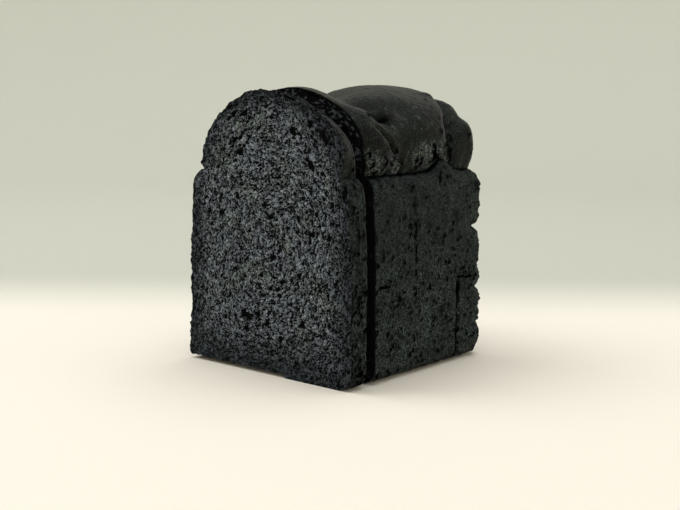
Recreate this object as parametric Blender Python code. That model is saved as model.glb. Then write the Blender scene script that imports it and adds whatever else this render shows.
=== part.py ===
"""A black sandwich loaf, baked in a tin, with its first slice cut and left standing before it.

The loaf lies along +Y with its cut end towards -Y, +X is the side wall on the right of the cut
face, and the origin is the middle of the base. The functions work in millimetres, and MM turns
their points to metres at the end. A depth is measured from the front of the slice into the loaf.

Every cross-section is a deformed rectangle with four sides: the base, the crown and two flanks.
A flank is the tin wall up to a slot, and above it the side of the dome that overhangs the slot.
"""

import math

import bmesh
import bpy
import numpy as np
from mathutils import Vector, noise

MM = 0.001

# Overall sizes
LENGTH = 125.0
SLICE_THICKNESS = 13.0
SLICE_CROWN_THICKNESS = 5.5
GAP = 6.5
LOAF_START = SLICE_THICKNESS + GAP

# Tin walls: the right one is upright and waisted above its belly, the left one leans in
RIGHT_HALF_WIDTH = 60.2
LEFT_HALF_WIDTH = 61.2
BELLY_HEIGHT = 40.0
WAIST = 2.1
WAIST_HEIGHT = 100.0
LEFT_LEAN = 0.032
MIDDLE_X = -0.5
RIM_HEIGHT = 110.5
RIM_PEAK = 7.0
RIM_PEAK_DEPTH = 88.5
RIM_PEAK_SPREAD = 9.5
SHOULDER_HEIGHT = 9.0
RIGHT_SLOT_INSET = 6.0
LEFT_SLOT_INSET = 9.0
BOTTOM_RADIUS = 9.0
SHARP_BOTTOM_RADIUS = 2.5
END_RADIUS_WALL = 10.0
END_RADIUS_CROWN = 11.5
END_SLOT = 3.0
END_SLOT_HALF_HEIGHT = 3.5
END_WAVE = 0.8

# Cut faces: how uneven the front is, and between which heights the slice's back tore away
CUT_WAVE = 0.3
CROWN_TEAR_START = 116.0
CROWN_TEAR_END = 148.0

# Dome: two full balls of dough and the folded end of a third, each (depth, value)
CROWN_HEIGHTS = ((0.0, 156.0), (9.0, 153.6), (20.0, 156.4), (32.0, 157.2), (55.0, 157.0),
                 (90.0, 158.4), (110.0, 158.2), (125.0, 157.0))
RIGHT_SPRING_HEIGHT = 124.0
LEFT_SPRING_HEIGHT = 117.0
APEX_X = -2.0
DOME_RIGHT = 54.6
DOME_LEFT = 49.8
LOAF_DOME_LEFT = 53.5
CUT_PINCH = 4.0
CUT_PINCH_DEPTH = 16.0
CUT_PINCH_SPREAD = 9.0
FRONT_ROUNDNESS = 1.68
LEFT_ROUNDNESS = 1.8
CUT_ROUNDNESS = 1.95
LOAF_ROUNDNESS = 2.25
DOME_CORNER = math.radians(42.0)

# Valleys between the balls of dough: their paths over the dome as (x, depth)
FIRST_VALLEY_PATH = ((-55.0, 62.0), (-20.0, 66.0), (0.0, 57.0), (14.0, 45.0), (28.0, 39.0),
                     (42.0, 50.0), (55.0, 51.0))
FIRST_VALLEY_DEPTH = 5.5
FIRST_VALLEY_WIDTH = 13.0
SECOND_CREASE_PATH = ((-55.0, 98.0), (-38.0, 109.0), (-10.0, 119.0), (20.0, 118.0), (33.0, 110.5),
                      (44.0, 105.0), (48.0, 101.0), (55.0, 96.0))
SECOND_CREASE_DEPTH = 4.5
SECOND_CREASE_WIDTH = 4.0

# Wrinkles round the rear corners, pressed in where the dough met the tin: height and depth
CORNER_WRINKLES = ((77.0, 3.2), (54.0, 1.3), (41.0, 1.8), (19.5, 1.0))
WRINKLE_HALF_HEIGHT = 1.8
CORNER_BULGES = ((100.0, 9.0, 1.2), (12.0, 7.0, 1.4), (32.0, 5.0, 0.6))

# Grooves on the right wall: start and end as (depth, height), then groove width and depth
WALL_GROOVES = (((56.0, 101.0), (57.0, 39.0), 1.6, 1.3),
                ((97.0, 52.0), (97.0, 5.0), 1.2, 2.6),
                ((39.5, 110.0), (53.0, 102.0), 1.5, 1.2),
                ((77.0, 108.0), (83.0, 84.0), 3.0, 0.9),
                ((107.0, 66.0), (118.0, 77.0), 1.5, 1.6))

# Sharp creases down the dome's flanks: start and end as (depth, height), width and depth
FLANK_CREASES = (((34.0, 137.0), (41.0, 128.0), 1.8, 2.0),
                 ((41.0, 128.0), (51.0, 117.0), 1.8, 2.4),
                 ((51.0, 117.0), (50.5, 110.0), 1.6, 3.0),
                 ((33.0, 121.0), (38.0, 110.0), 1.4, 2.4),
                 ((17.0, 126.5), (32.0, 122.5), 1.8, 1.6))

# Torn crumb that burst out between rim and crust: centre depth, half length, height, bulge
TORN_BURSTS = ((29.0, 9.5, 116.0, 2.8), (44.5, 4.0, 114.5, 2.2), (78.0, 10.0, 121.0, 1.2))
BURST_HALF_HEIGHT = 6.5

# Dents in the crust of the dome: depth, x, radius and how deep
DENTS = ((42.0, 44.0, 5.4, 5.0), (48.0, 44.0, 5.0, 1.6), (62.0, 46.0, 9.0, 1.6),
         (72.0, -34.0, 9.0, 2.0), (28.0, -44.0, 7.0, 1.5))

# Mesh divisions: fractions are of a curve's length
ACROSS = 22
EDGE_COLUMN = 0.03
WALL_ROWS = 15
DOME_ROWS = 10
WALL_SHARE = 0.7
SHOULDER_ROWS = (0.03, 0.91, 0.955, 0.98)
DEEP_WRINKLE = 1.5
CLOSEST_ROWS = 0.014
STATION_STEP = 4.6
END_STEPS = 5
SLICE_SECTIONS = 5
CURVE_SAMPLES = 60

CRUST_COLOUR = (0.0150, 0.0175, 0.0160, 1.0)
CRUMB_COLOUR = (0.0240, 0.0275, 0.0290, 1.0)


def smoothstep(low, high, value):
    """Ease from 0 at low to 1 at high."""
    t = np.clip((np.asarray(value, float) - low) / (high - low), 0.0, 1.0)
    return t * t * (3.0 - 2.0 * t)


def bell(value, centre, spread):
    """A bump of height 1 round centre."""
    return np.exp(-((np.asarray(value, float) - centre) / spread) ** 2)


def through(stations, where):
    """A smooth curve through (position, value) stations, level at its highs and lows."""
    at, value = np.array(stations).T
    slope = np.diff(value) / np.diff(at)
    tangent = np.concatenate(([slope[0]], np.zeros(len(at) - 2), [slope[-1]]))
    rising = slope[:-1] * slope[1:] > 0.0
    tangent[1:-1][rising] = 0.5 * (slope[:-1] + slope[1:])[rising]
    where = np.clip(where, at[0], at[-1])
    i = np.clip(np.searchsorted(at, where) - 1, 0, len(at) - 2)
    step = at[i + 1] - at[i]
    t = (where - at[i]) / step
    start = (1.0 + 2.0 * t) * (1.0 - t) ** 2 * value[i] + t * (1.0 - t) ** 2 * step * tangent[i]
    end = t * t * (3.0 - 2.0 * t) * value[i + 1] + t * t * (t - 1.0) * step * tangent[i + 1]
    return start + end


def wobble(x, y, z, size, seed):
    """Smooth noise between about -1 and 1, with bumps of the given size in millimetres."""
    points = np.stack(np.broadcast_arrays(x, y, z), axis=-1).reshape(-1, 3) / size
    shift = Vector((seed * 7.3, seed * 3.1, seed * 5.7))
    values = [noise.noise(Vector(point) + shift) for point in points]
    return np.array(values).reshape(np.broadcast(x, y, z).shape)


def wall_x(side, height):
    """Distance of a tin wall from the middle plane, before its edges are rounded."""
    height = np.asarray(height, float)
    if side < 0:
        return LEFT_HALF_WIDTH - LEFT_LEAN * height
    rise = np.clip(height - BELLY_HEIGHT, 0.0, None) / (WAIST_HEIGHT - BELLY_HEIGHT)
    return RIGHT_HALF_WIDTH - WAIST * rise ** 2


def rim_height(depth):
    """Height of the slot between tin wall and dome."""
    return RIM_HEIGHT + RIM_PEAK * float(bell(depth, RIM_PEAK_DEPTH, RIM_PEAK_SPREAD))


def bottom_radius(side, depth):
    """Radius of the edge between base and wall: sharp at the front left, where it was torn."""
    if side > 0:
        return BOTTOM_RADIUS
    return SHARP_BOTTOM_RADIUS + (BOTTOM_RADIUS - SHARP_BOTTOM_RADIUS) * float(
        smoothstep(0.0, 2.0 * LOAF_START, depth))


def slot_inset(side):
    """How far the slot under the dome lies inside the wall."""
    return RIGHT_SLOT_INSET if side > 0 else LEFT_SLOT_INSET


def wall_curve(side, depth):
    """One wall as (x, z) points, from the middle of the bottom edge up to the slot."""
    radius = bottom_radius(side, depth)
    rim = rim_height(depth)
    low = np.linspace(math.pi / 4.0, 0.0, CURVE_SAMPLES)
    low_z = radius * (1.0 - np.sin(low))
    low_x = wall_x(side, low_z) - radius * (1.0 - np.cos(low))
    mid_z = np.linspace(radius, rim - SHOULDER_HEIGHT, CURVE_SAMPLES)[1:-1]
    top = np.linspace(0.0, math.pi / 2.0, CURVE_SAMPLES)
    top_z = rim - SHOULDER_HEIGHT * (1.0 - np.sin(top))
    top_x = wall_x(side, top_z) - slot_inset(side) * (1.0 - np.cos(top))
    x = np.concatenate((low_x, wall_x(side, mid_z), top_x))
    z = np.concatenate((low_z, mid_z, top_z))
    return np.stack((side * x, z), axis=1)


def base_curve(depth):
    """The base as (x, z) points from the left bottom edge to the right one."""
    halves = []
    for side in (-1, 1):
        radius = bottom_radius(side, depth)
        angle = np.linspace(math.pi / 4.0, math.pi / 2.0, CURVE_SAMPLES)
        z = radius * (1.0 - np.sin(angle))
        x = wall_x(side, z) - radius * (1.0 - np.cos(angle))
        halves.append(np.stack((side * x, z), axis=1))
    return np.concatenate((halves[0], halves[1][::-1]))


def dome_curves(side, depth):
    """Half of the dome as (x, z) points: from the slot to the corner, and on to the apex."""
    rim = rim_height(depth)
    inside = float(smoothstep(0.0, LOAF_START, depth))
    full = float(smoothstep(LOAF_START, 3.0 * LOAF_START, depth))
    slot_x = wall_x(side, rim) - slot_inset(side)
    if side > 0:
        spring = RIGHT_SPRING_HEIGHT
        reach = DOME_RIGHT - CUT_PINCH * float(bell(depth, CUT_PINCH_DEPTH, CUT_PINCH_SPREAD))
        roundness = FRONT_ROUNDNESS
    else:
        spring = LEFT_SPRING_HEIGHT + (RIGHT_SPRING_HEIGHT - LEFT_SPRING_HEIGHT) * full
        reach = DOME_LEFT + (LOAF_DOME_LEFT - DOME_LEFT) * full
        roundness = LEFT_ROUNDNESS
    roundness += (CUT_ROUNDNESS - roundness) * inside + (LOAF_ROUNDNESS - CUT_ROUNDNESS) * full
    t = np.linspace(0.0, 1.0, CURVE_SAMPLES)
    under_x = reach - (reach - slot_x) * (1.0 - t) ** 2
    under_z = rim + (spring - rim) * t
    low = np.linspace(0.0, DOME_CORNER, CURVE_SAMPLES)[1:]
    high = np.linspace(DOME_CORNER, math.pi / 2.0, CURVE_SAMPLES)
    angle = np.concatenate((low, high))
    crown = through(CROWN_HEIGHTS, depth)
    apex = side * APEX_X
    over_x = apex + (reach - apex) * np.cos(angle).clip(0.0) ** (2.0 / roundness)
    over_z = spring + (crown - spring) * np.sin(angle) ** (2.0 / roundness)
    over = np.stack((side * over_x, over_z), axis=1)
    under = np.stack((side * under_x, under_z), axis=1)
    return np.concatenate((under, over[:len(low)])), over[len(low):]


def resample(curve, fractions):
    """Points at the given fractions of a curve's length."""
    length = np.concatenate(([0.0], np.cumsum(np.linalg.norm(np.diff(curve, axis=0), axis=1))))
    at = np.asarray(fractions) * length[-1]
    return np.stack([np.interp(at, length, curve[:, axis]) for axis in (0, 1)], axis=1)


def outward(x, z):
    """Smooth outward direction of a section: sideways on the walls, up on the dome."""
    nx = (x / 61.0) ** 3 / 61.0
    nz = ((z - 72.0) / 86.0) ** 3 / 86.0
    size = np.hypot(nx, nz)
    return nx / size, nz / size


def dome_relief(x, depth, z):
    """How far the dome's surface stands out, from its creases, dents and torn bursts."""
    on_dome = smoothstep(RIM_HEIGHT, RIGHT_SPRING_HEIGHT, z)
    on_flank = smoothstep(0.6 * DOME_RIGHT, 0.9 * DOME_RIGHT, np.abs(x))
    behind_cut = smoothstep(LOAF_START, 1.6 * LOAF_START, depth)
    first = np.abs(depth - through(FIRST_VALLEY_PATH, x)) / FIRST_VALLEY_WIDTH
    second = np.abs(depth - through(SECOND_CREASE_PATH, x)) / SECOND_CREASE_WIDTH
    out = -FIRST_VALLEY_DEPTH * np.exp(-first ** 1.5) * (1.0 - 0.6 * on_flank) * behind_cut
    out = out - SECOND_CREASE_DEPTH * np.exp(-second)
    for dent_depth, dent_x, radius, deep in DENTS:
        distance = np.hypot(depth - dent_depth, x - dent_x)
        out = out - deep * bell(distance, 0.0, radius)
    out = out * on_dome + 0.7 * wobble(x, depth, z, 24.0, 1) * on_dome
    for start, end, width, deep in FLANK_CREASES:
        out = out - deep * on_flank * groove(depth, z, start, end, width)
    for burst_depth, half_length, height, bulge in TORN_BURSTS:
        along = np.clip(1.0 - ((depth - burst_depth) / half_length) ** 2, 0.0, 1.0) ** 0.5
        up = np.clip(1.0 - ((z - height) / BURST_HALF_HEIGHT) ** 2, 0.0, 1.0)
        out = out + bulge * along * up * (np.abs(x) > 0.6 * DOME_RIGHT)
    return out


def groove(depth, z, start, end, width):
    """How near a point of the wall is to a straight groove: 1 on it, 0 away from it."""
    run = np.array(end) - np.array(start)
    t = ((depth - start[0]) * run[0] + (z - start[1]) * run[1]) / float(run @ run)
    t = np.clip(t, 0.0, 1.0)
    return bell(np.hypot(depth - start[0] - t * run[0], z - start[1] - t * run[1]), 0.0, width)


def wall_relief(x, depth, z):
    """How far a tin wall stands out, from its panels, grooves and corner wrinkles."""
    on_wall = smoothstep(0.0, BOTTOM_RADIUS, z) * (1.0 - smoothstep(RIM_HEIGHT - 4.0, RIM_HEIGHT, z))
    out = 0.5 * wobble(x, depth, z / 3.0, 11.0, 2) + 0.35 * wobble(x, depth, z, 17.0, 3)
    mirrored = np.where(x > 0.0, depth, LENGTH + LOAF_START - depth)
    for start, end, width, deep in WALL_GROOVES:
        out = out - deep * groove(mirrored, z, start, end, width)
    near_end = smoothstep(LENGTH - 20.0, LENGTH - 6.0, depth)
    for height, deep in CORNER_WRINKLES:
        out = out - deep * near_end * bell(z, height, WRINKLE_HALF_HEIGHT)
    for height, spread, bulge in CORNER_BULGES:
        out = out + bulge * near_end * bell(z, height, spread)
    return out * on_wall


def end_inset(depth, z):
    """How far the section has drawn in at this depth, to round the loaf's rear end."""
    high = smoothstep(RIM_HEIGHT, RIM_HEIGHT + 45.0, z)
    radius = END_RADIUS_WALL + (END_RADIUS_CROWN - END_RADIUS_WALL) * high
    into = np.clip((depth - LENGTH + radius) / radius, 0.0, 1.0)
    return radius * (1.0 - np.sqrt(1.0 - into ** 2))


def wall_fractions():
    """Rows up a wall: even ones, closer at the shoulder, and three at a deep corner wrinkle."""
    rows = list(np.linspace(0.0, 1.0, WALL_ROWS + 1)) + list(SHOULDER_ROWS)
    for height, deep in CORNER_WRINKLES:
        if deep > DEEP_WRINKLE:
            rows += [(height + shift) / (RIM_HEIGHT + 4.0) for shift in (-2.2, 0.0, 2.2)]
    kept = [0.0]
    for row in sorted(rows)[1:]:
        if row - kept[-1] > CLOSEST_ROWS:
            kept.append(row)
    kept[-1] = 1.0
    return np.array(kept)


def flank_fractions():
    """Rows up a whole flank, as one run from 0 at the base to 1 at the crown."""
    dome = np.linspace(0.0, 1.0, DOME_ROWS + 1) ** 1.25
    return np.concatenate((WALL_SHARE * wall_fractions(), WALL_SHARE + (1.0 - WALL_SHARE) * dome[1:]))


def cross_fractions():
    """Columns across base and crown: even ones, and close ones at the rounded bottom edges."""
    return np.concatenate(([0.0], np.linspace(EDGE_COLUMN, 1.0 - EDGE_COLUMN, ACROSS - 1), [1.0]))


def in_relief(points, depth, relief):
    """Section points pushed out by a relief and drawn in at the rounded end."""
    x, z = points[:, 0], points[:, 1]
    nx, nz = outward(x, z)
    out = relief(x, depth, z) - end_inset(depth, z)
    return np.stack((x + nx * out, z + nz * out), axis=1)


def no_relief(x, depth, z):
    """A plain surface."""
    return np.zeros_like(x)


def section_sides(depth):
    """The section at a depth with its relief: base, crown, left flank and right flank."""
    across = cross_fractions()
    dome_rows = (flank_fractions()[len(wall_fractions()) - 1:] - WALL_SHARE) / (1.0 - WALL_SHARE)
    flanks = {}
    crowns = {}
    for side in (-1, 1):
        low_dome, crowns[side] = dome_curves(side, depth)
        wall = in_relief(resample(wall_curve(side, depth), wall_fractions()), depth, wall_relief)
        dome = in_relief(resample(low_dome, dome_rows), depth, dome_relief)
        flanks[side] = np.concatenate((wall, dome[1:]))
    base = in_relief(resample(base_curve(depth), across), depth, no_relief)
    crown = resample(np.concatenate((crowns[-1], crowns[1][-2::-1])), across)
    crown = in_relief(crown, depth, dome_relief)
    base[0], base[-1] = flanks[-1][0], flanks[1][0]
    crown[0], crown[-1] = flanks[-1][-1], flanks[1][-1]
    return base, crown, flanks[-1], flanks[1]


def fill_section(base, crown, left, right):
    """A grid of points filling a section between its four sides (a Coons patch)."""
    u = cross_fractions()[:, None, None]
    v = flank_fractions()[None, :, None]
    ruled_up = (1.0 - v) * base[:, None] + v * crown[:, None]
    ruled_over = (1.0 - u) * left[None] + u * right[None]
    corners = ((1.0 - u) * (1.0 - v) * base[0] + u * (1.0 - v) * base[-1]
               + (1.0 - u) * v * crown[0] + u * v * crown[-1])
    return ruled_up + ruled_over - corners


def perimeter(base, crown, left, right):
    """The sides joined into one ring, counter-clockwise seen from the front."""
    return np.concatenate((base[:-1], right[:-1], crown[:0:-1], left[:0:-1]))


def loft(name, stations, front_face, back_face, colour, roughness):
    """Build one closed solid from its cross-sections and its two end faces.

    stations are depths; front_face and back_face give a section point's own depth.
    """
    mesh = bmesh.new()
    rings = []
    for number, depth in enumerate(stations):
        ring = perimeter(*section_sides(depth))
        share = number / (len(stations) - 1)
        x, z = ring[:, 0], ring[:, 1]
        y = depth + (1.0 - share) * front_face(x, z) + share * back_face(x, z)
        rings.append([mesh.verts.new(point) for point in in_metres(x, y, z)])
    for near, far in zip(rings, rings[1:]):
        for i in range(len(near)):
            j = (i + 1) % len(near)
            mesh.faces.new((near[i], near[j], far[j], far[i]))
    for ring, depth, face in ((rings[0], stations[0], front_face),
                              (rings[-1], stations[-1], back_face)):
        close_end(mesh, ring, fill_section(*section_sides(depth)), depth, face)
    bmesh.ops.recalc_face_normals(mesh, faces=mesh.faces[:])
    data = bpy.data.meshes.new(name)
    mesh.to_mesh(data)
    mesh.free()
    data.materials.append(baked(name, colour, roughness))
    data.shade_smooth()
    data.set_sharp_from_angle(angle=math.radians(50.0))
    solid = bpy.data.objects.new(name, data)
    bpy.context.scene.collection.objects.link(solid)
    return solid


def in_metres(x, depth, z):
    """Points of the model in metres, from x, depth and height in millimetres."""
    return np.stack(np.broadcast_arrays(x - MIDDLE_X, depth - LENGTH / 2.0, z), axis=-1) * MM


def close_end(mesh, ring, grid, depth, face):
    """Fill an end: the grid's rim is the ring itself, and its inner points are new."""
    columns, rows = grid.shape[0] - 1, grid.shape[1] - 1
    rim = [(i, 0) for i in range(columns)] + [(columns, j) for j in range(rows)]
    rim += [(i, rows) for i in range(columns, 0, -1)] + [(0, j) for j in range(rows, 0, -1)]
    vertex = dict(zip(rim, ring))
    inner_x, inner_z = grid[..., 0], grid[..., 1]
    points = in_metres(inner_x, depth + face(inner_x, inner_z), inner_z)
    for i in range(1, columns):
        for j in range(1, rows):
            vertex[i, j] = mesh.verts.new(points[i, j])
    for i in range(columns):
        for j in range(rows):
            mesh.faces.new((vertex[i, j], vertex[i + 1, j], vertex[i + 1, j + 1], vertex[i, j + 1]))


def baked(name, colour, roughness):
    """The matt black of the bread: crust or crumb."""
    material = bpy.data.materials.new(name + "_bread")
    material.use_nodes = True
    shader = material.node_tree.nodes["Principled BSDF"]
    shader.inputs["Base Color"].default_value = colour
    shader.inputs["Roughness"].default_value = roughness
    shader.inputs["Metallic"].default_value = 0.0
    return material


def cut_face(x, z):
    """The slice's front: a knife's slightly uneven cut, as an offset in depth."""
    inside = smoothstep(0.0, 12.0, RIGHT_HALF_WIDTH - np.abs(x)) * smoothstep(0.0, 10.0, z)
    return CUT_WAVE * (1.0 + wobble(x, 0.0, z, 16.0, 4)) * inside


def slice_back(x, z):
    """The slice's back: it thins towards the crown, where crumb tore away with the cut."""
    thinner = SLICE_THICKNESS - SLICE_CROWN_THICKNESS
    return -thinner * smoothstep(CROWN_TEAR_START, CROWN_TEAR_END, z)


def flat_face(x, z):
    """The loaf's own cut face, flat and upright."""
    return np.zeros_like(x)


def loaf_end(x, z):
    """The rear end: pressed flat by the tin, with a slot at rim height and wrinkled corners."""
    inside = smoothstep(0.0, 20.0, RIGHT_HALF_WIDTH - np.abs(x)) * smoothstep(0.0, 12.0, z)
    corner = smoothstep(0.4, 0.75, np.abs(x) / RIGHT_HALF_WIDTH)
    offset = END_WAVE * (wobble(x, 0.0, z, 20.0, 5) - 1.0) * inside
    offset = offset - END_SLOT * bell(z, RIM_HEIGHT + 1.0, END_SLOT_HALF_HEIGHT)
    for height, deep in CORNER_WRINKLES:
        offset = offset - 0.6 * deep * corner * bell(z, height, WRINKLE_HALF_HEIGHT)
    return offset


def loaf_stations():
    """Depths of the loaf's sections: even ones, three at an upright groove, closer at the end."""
    tail = LENGTH - END_RADIUS_WALL
    depths = list(np.arange(LOAF_START, tail - 1.0, STATION_STEP))
    for start, end, width, deep in WALL_GROOVES:
        middle = 0.5 * (start[0] + end[0])
        if abs(start[0] - end[0]) < width:
            depths = [depth for depth in depths if abs(depth - middle) > 3.0]
            depths += [middle - 1.8, middle, middle + 1.8]
    angles = np.linspace(0.0, math.pi / 2.0, END_STEPS)
    depths += list(tail + END_RADIUS_WALL * np.sin(angles))
    return sorted(depths)


def slice_stations():
    """Depths of the slice's sections."""
    return list(np.linspace(0.0, SLICE_THICKNESS, SLICE_SECTIONS))


def clear_scene():
    """Remove the objects that a new file starts with."""
    for item in list(bpy.data.objects):
        bpy.data.objects.remove(item, do_unlink=True)


def main():
    """Build the slice and the loaf."""
    clear_scene()
    loft("front_slice", slice_stations(), cut_face, slice_back, CRUMB_COLOUR, 0.9)
    loft("loaf", loaf_stations(), flat_face, loaf_end, CRUST_COLOUR, 0.75)


main()
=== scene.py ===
"""The looks of a black tin loaf whose first slice is cut and stands before it.

Lengths are in millimetres until metres() turns them to metres. A depth is measured from the front of
the slice into the loaf, so the slice is cut at depth 0 and the loaf's rear end is at depth 125.
"""

import logging
import math
from collections.abc import Callable
from dataclasses import dataclass, field
from enum import Enum

import bpy
import numpy as np
from mathutils import Matrix, Vector, noise


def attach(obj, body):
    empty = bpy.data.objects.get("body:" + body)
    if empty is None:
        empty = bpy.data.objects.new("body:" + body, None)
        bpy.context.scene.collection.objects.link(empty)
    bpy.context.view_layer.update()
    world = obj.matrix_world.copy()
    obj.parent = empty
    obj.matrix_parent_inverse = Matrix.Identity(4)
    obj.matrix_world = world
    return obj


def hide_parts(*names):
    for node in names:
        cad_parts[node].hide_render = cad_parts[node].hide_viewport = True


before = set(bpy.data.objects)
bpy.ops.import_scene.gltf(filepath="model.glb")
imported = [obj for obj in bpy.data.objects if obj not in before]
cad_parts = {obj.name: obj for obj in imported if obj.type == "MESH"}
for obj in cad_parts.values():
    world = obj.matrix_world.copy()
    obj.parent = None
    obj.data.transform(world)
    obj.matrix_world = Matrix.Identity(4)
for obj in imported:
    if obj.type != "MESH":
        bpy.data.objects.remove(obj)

LOG = logging.getLogger("black_loaf")
MM = 0.001
BODY = "root"
# Rings of points through the slice, through the loaf's straight part and round its rear edge.
SLICE_RINGS = 13
LOAF_RINGS = 100
ROUNDED_END_RINGS = 13
# Painted shade: relief this far below the form, in millimetres, paints a pit or crack fully dark.
FULL_SHADE_DEPTH = 0.8  # relief in millimetres below the form at which a pit looks fully hollow


class Side(Enum):
    """The two tin walls, by the sign of x on them."""

    LEFT = -1
    RIGHT = 1


class Skin(Enum):
    """What a face of the bread is, as its material's place on the object."""

    CRUMB = 0
    CRUST = 1


def smoothstep(low: float, high: float, value: np.ndarray | float) -> np.ndarray:
    """Ease from 0 at low to 1 at high.

    Args:
        low: Where the rise starts.
        high: Where it ends.
        value: One number or an array of them.

    Returns:
        The eased values.
    """
    t = np.clip((np.asarray(value, float) - low) / (high - low), 0.0, 1.0)
    return t * t * (3.0 - 2.0 * t)


def bell(value: np.ndarray | float, centre: float, spread: float) -> np.ndarray:
    """A bump of height 1.

    Args:
        value: Where to read it.
        centre: Its middle.
        spread: How far from the middle it has fallen to about a third.

    Returns:
        The bump's height at each value.
    """
    return np.exp(-((np.asarray(value, float) - centre) / spread) ** 2)


def through(stations: tuple[tuple[float, float], ...], where: np.ndarray | float) -> np.ndarray:
    """A smooth curve through stations, level at its highs and lows.

    Args:
        stations: Pairs of position and value.
        where: The positions to read.

    Returns:
        The curve's value at each position.
    """
    at, value = np.array(stations).T
    slope = np.diff(value) / np.diff(at)
    tangent = np.concatenate(([slope[0]], np.zeros(len(at) - 2), [slope[-1]]))
    rising = slope[:-1] * slope[1:] > 0.0
    tangent[1:-1][rising] = 0.5 * (slope[:-1] + slope[1:])[rising]
    where = np.clip(where, at[0], at[-1])
    i = np.clip(np.searchsorted(at, where) - 1, 0, len(at) - 2)
    step = at[i + 1] - at[i]
    t = (where - at[i]) / step
    start = (1.0 + 2.0 * t) * (1.0 - t) ** 2 * value[i] + t * (1.0 - t) ** 2 * step * tangent[i]
    end = t * t * (3.0 - 2.0 * t) * value[i + 1] + t * t * (t - 1.0) * step * tangent[i + 1]
    return start + end


def wobble(x: np.ndarray, y: np.ndarray, z: np.ndarray, size: float, seed: int) -> np.ndarray:
    """Smooth noise between about -1 and 1.

    Args:
        x: Positions, with y and z.
        y: Positions.
        z: Positions.
        size: Width of a bump in millimetres.
        seed: Which of many such noises.

    Returns:
        The noise at each point.
    """
    points = np.stack(np.broadcast_arrays(x, y, z), axis=-1).reshape(-1, 3) / size
    points = points + np.array((7.3, 3.1, 5.7)) * seed
    values = [noise.noise(point) for point in points.tolist()]
    return np.array(values).reshape(np.broadcast(x, y, z).shape)


@dataclass(frozen=True)
class Ripple:
    """Smooth unevenness: how high, how wide a bump is, both in millimetres, and its seed."""

    height: float
    size: float
    seed: int

    def at(self, x: np.ndarray, y: np.ndarray, z: np.ndarray) -> np.ndarray:
        """Height of the ripple at each point, between about minus and plus its own height."""
        return self.height * wobble(x, y, z, self.size, self.seed)


def scatter(column: np.ndarray, row: np.ndarray, seed: int) -> np.ndarray:
    """Repeatable random numbers from 0 to 1, one for each place of a lattice.

    Args:
        column: Whole numbers.
        row: Whole numbers.
        seed: Which of many such draws.

    Returns:
        The number that belongs to each place.
    """
    mixed = (column * 73856093) ^ (row * 19349663) ^ (seed * 83492791)
    mixed = ((mixed ^ (mixed >> 13)) * 1274126177) & 0x7FFFFFFF
    mixed = ((mixed ^ (mixed >> 15)) * 83492791) & 0x7FFFFFFF
    return (mixed >> 8 & 0xFFFF) / 65535.0


def metres(x: np.ndarray, depth: np.ndarray, z: np.ndarray, form: "LoafForm") -> np.ndarray:
    """Points in the part's own frame.

    Args:
        x: Across the loaf, in millimetres.
        depth: From the slice's front, in millimetres.
        z: Height, in millimetres.
        form: The loaf's form, which says where its middle is.

    Returns:
        The points, in metres.
    """
    points = np.stack(np.broadcast_arrays(x - form.middle_x, depth - form.length / 2.0, z), axis=-1)
    return points * MM


@dataclass(frozen=True)
class Groove:
    """A straight crease or crack, from start to end, each a depth and a height."""

    start: tuple[float, float]
    end: tuple[float, float]
    width: float
    deep: float

    def nearness(self, depth: np.ndarray, z: np.ndarray) -> np.ndarray:
        """How near points are to the groove.

        Args:
            depth: The points' depths.
            z: Their heights.

        Returns:
            1 on the groove, falling to 0 beside it.
        """
        run = np.array(self.end) - np.array(self.start)
        t = ((depth - self.start[0]) * run[0] + (z - self.start[1]) * run[1]) / float(run @ run)
        t = np.clip(t, 0.0, 1.0)
        aside = np.hypot(depth - self.start[0] - t * run[0], z - self.start[1] - t * run[1])
        return bell(aside, 0.0, self.width)


@dataclass(frozen=True)
class Burst:
    """A patch of torn crumb that swelled out between the tin's rim and the crust."""

    depth: float
    half_length: float
    height: float
    bulge: float
    half_height: float = 6.5

    def dome(self, depth: np.ndarray, z: np.ndarray) -> np.ndarray:
        """The patch as a low mound.

        Args:
            depth: The points' depths.
            z: Their heights.

        Returns:
            1 at the patch's middle, 0 outside it.
        """
        along = np.clip(1.0 - ((depth - self.depth) / self.half_length) ** 2, 0.0, 1.0) ** 0.5
        up = np.clip(1.0 - ((z - self.height) / self.half_height) ** 2, 0.0, 1.0)
        return along * up


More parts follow.
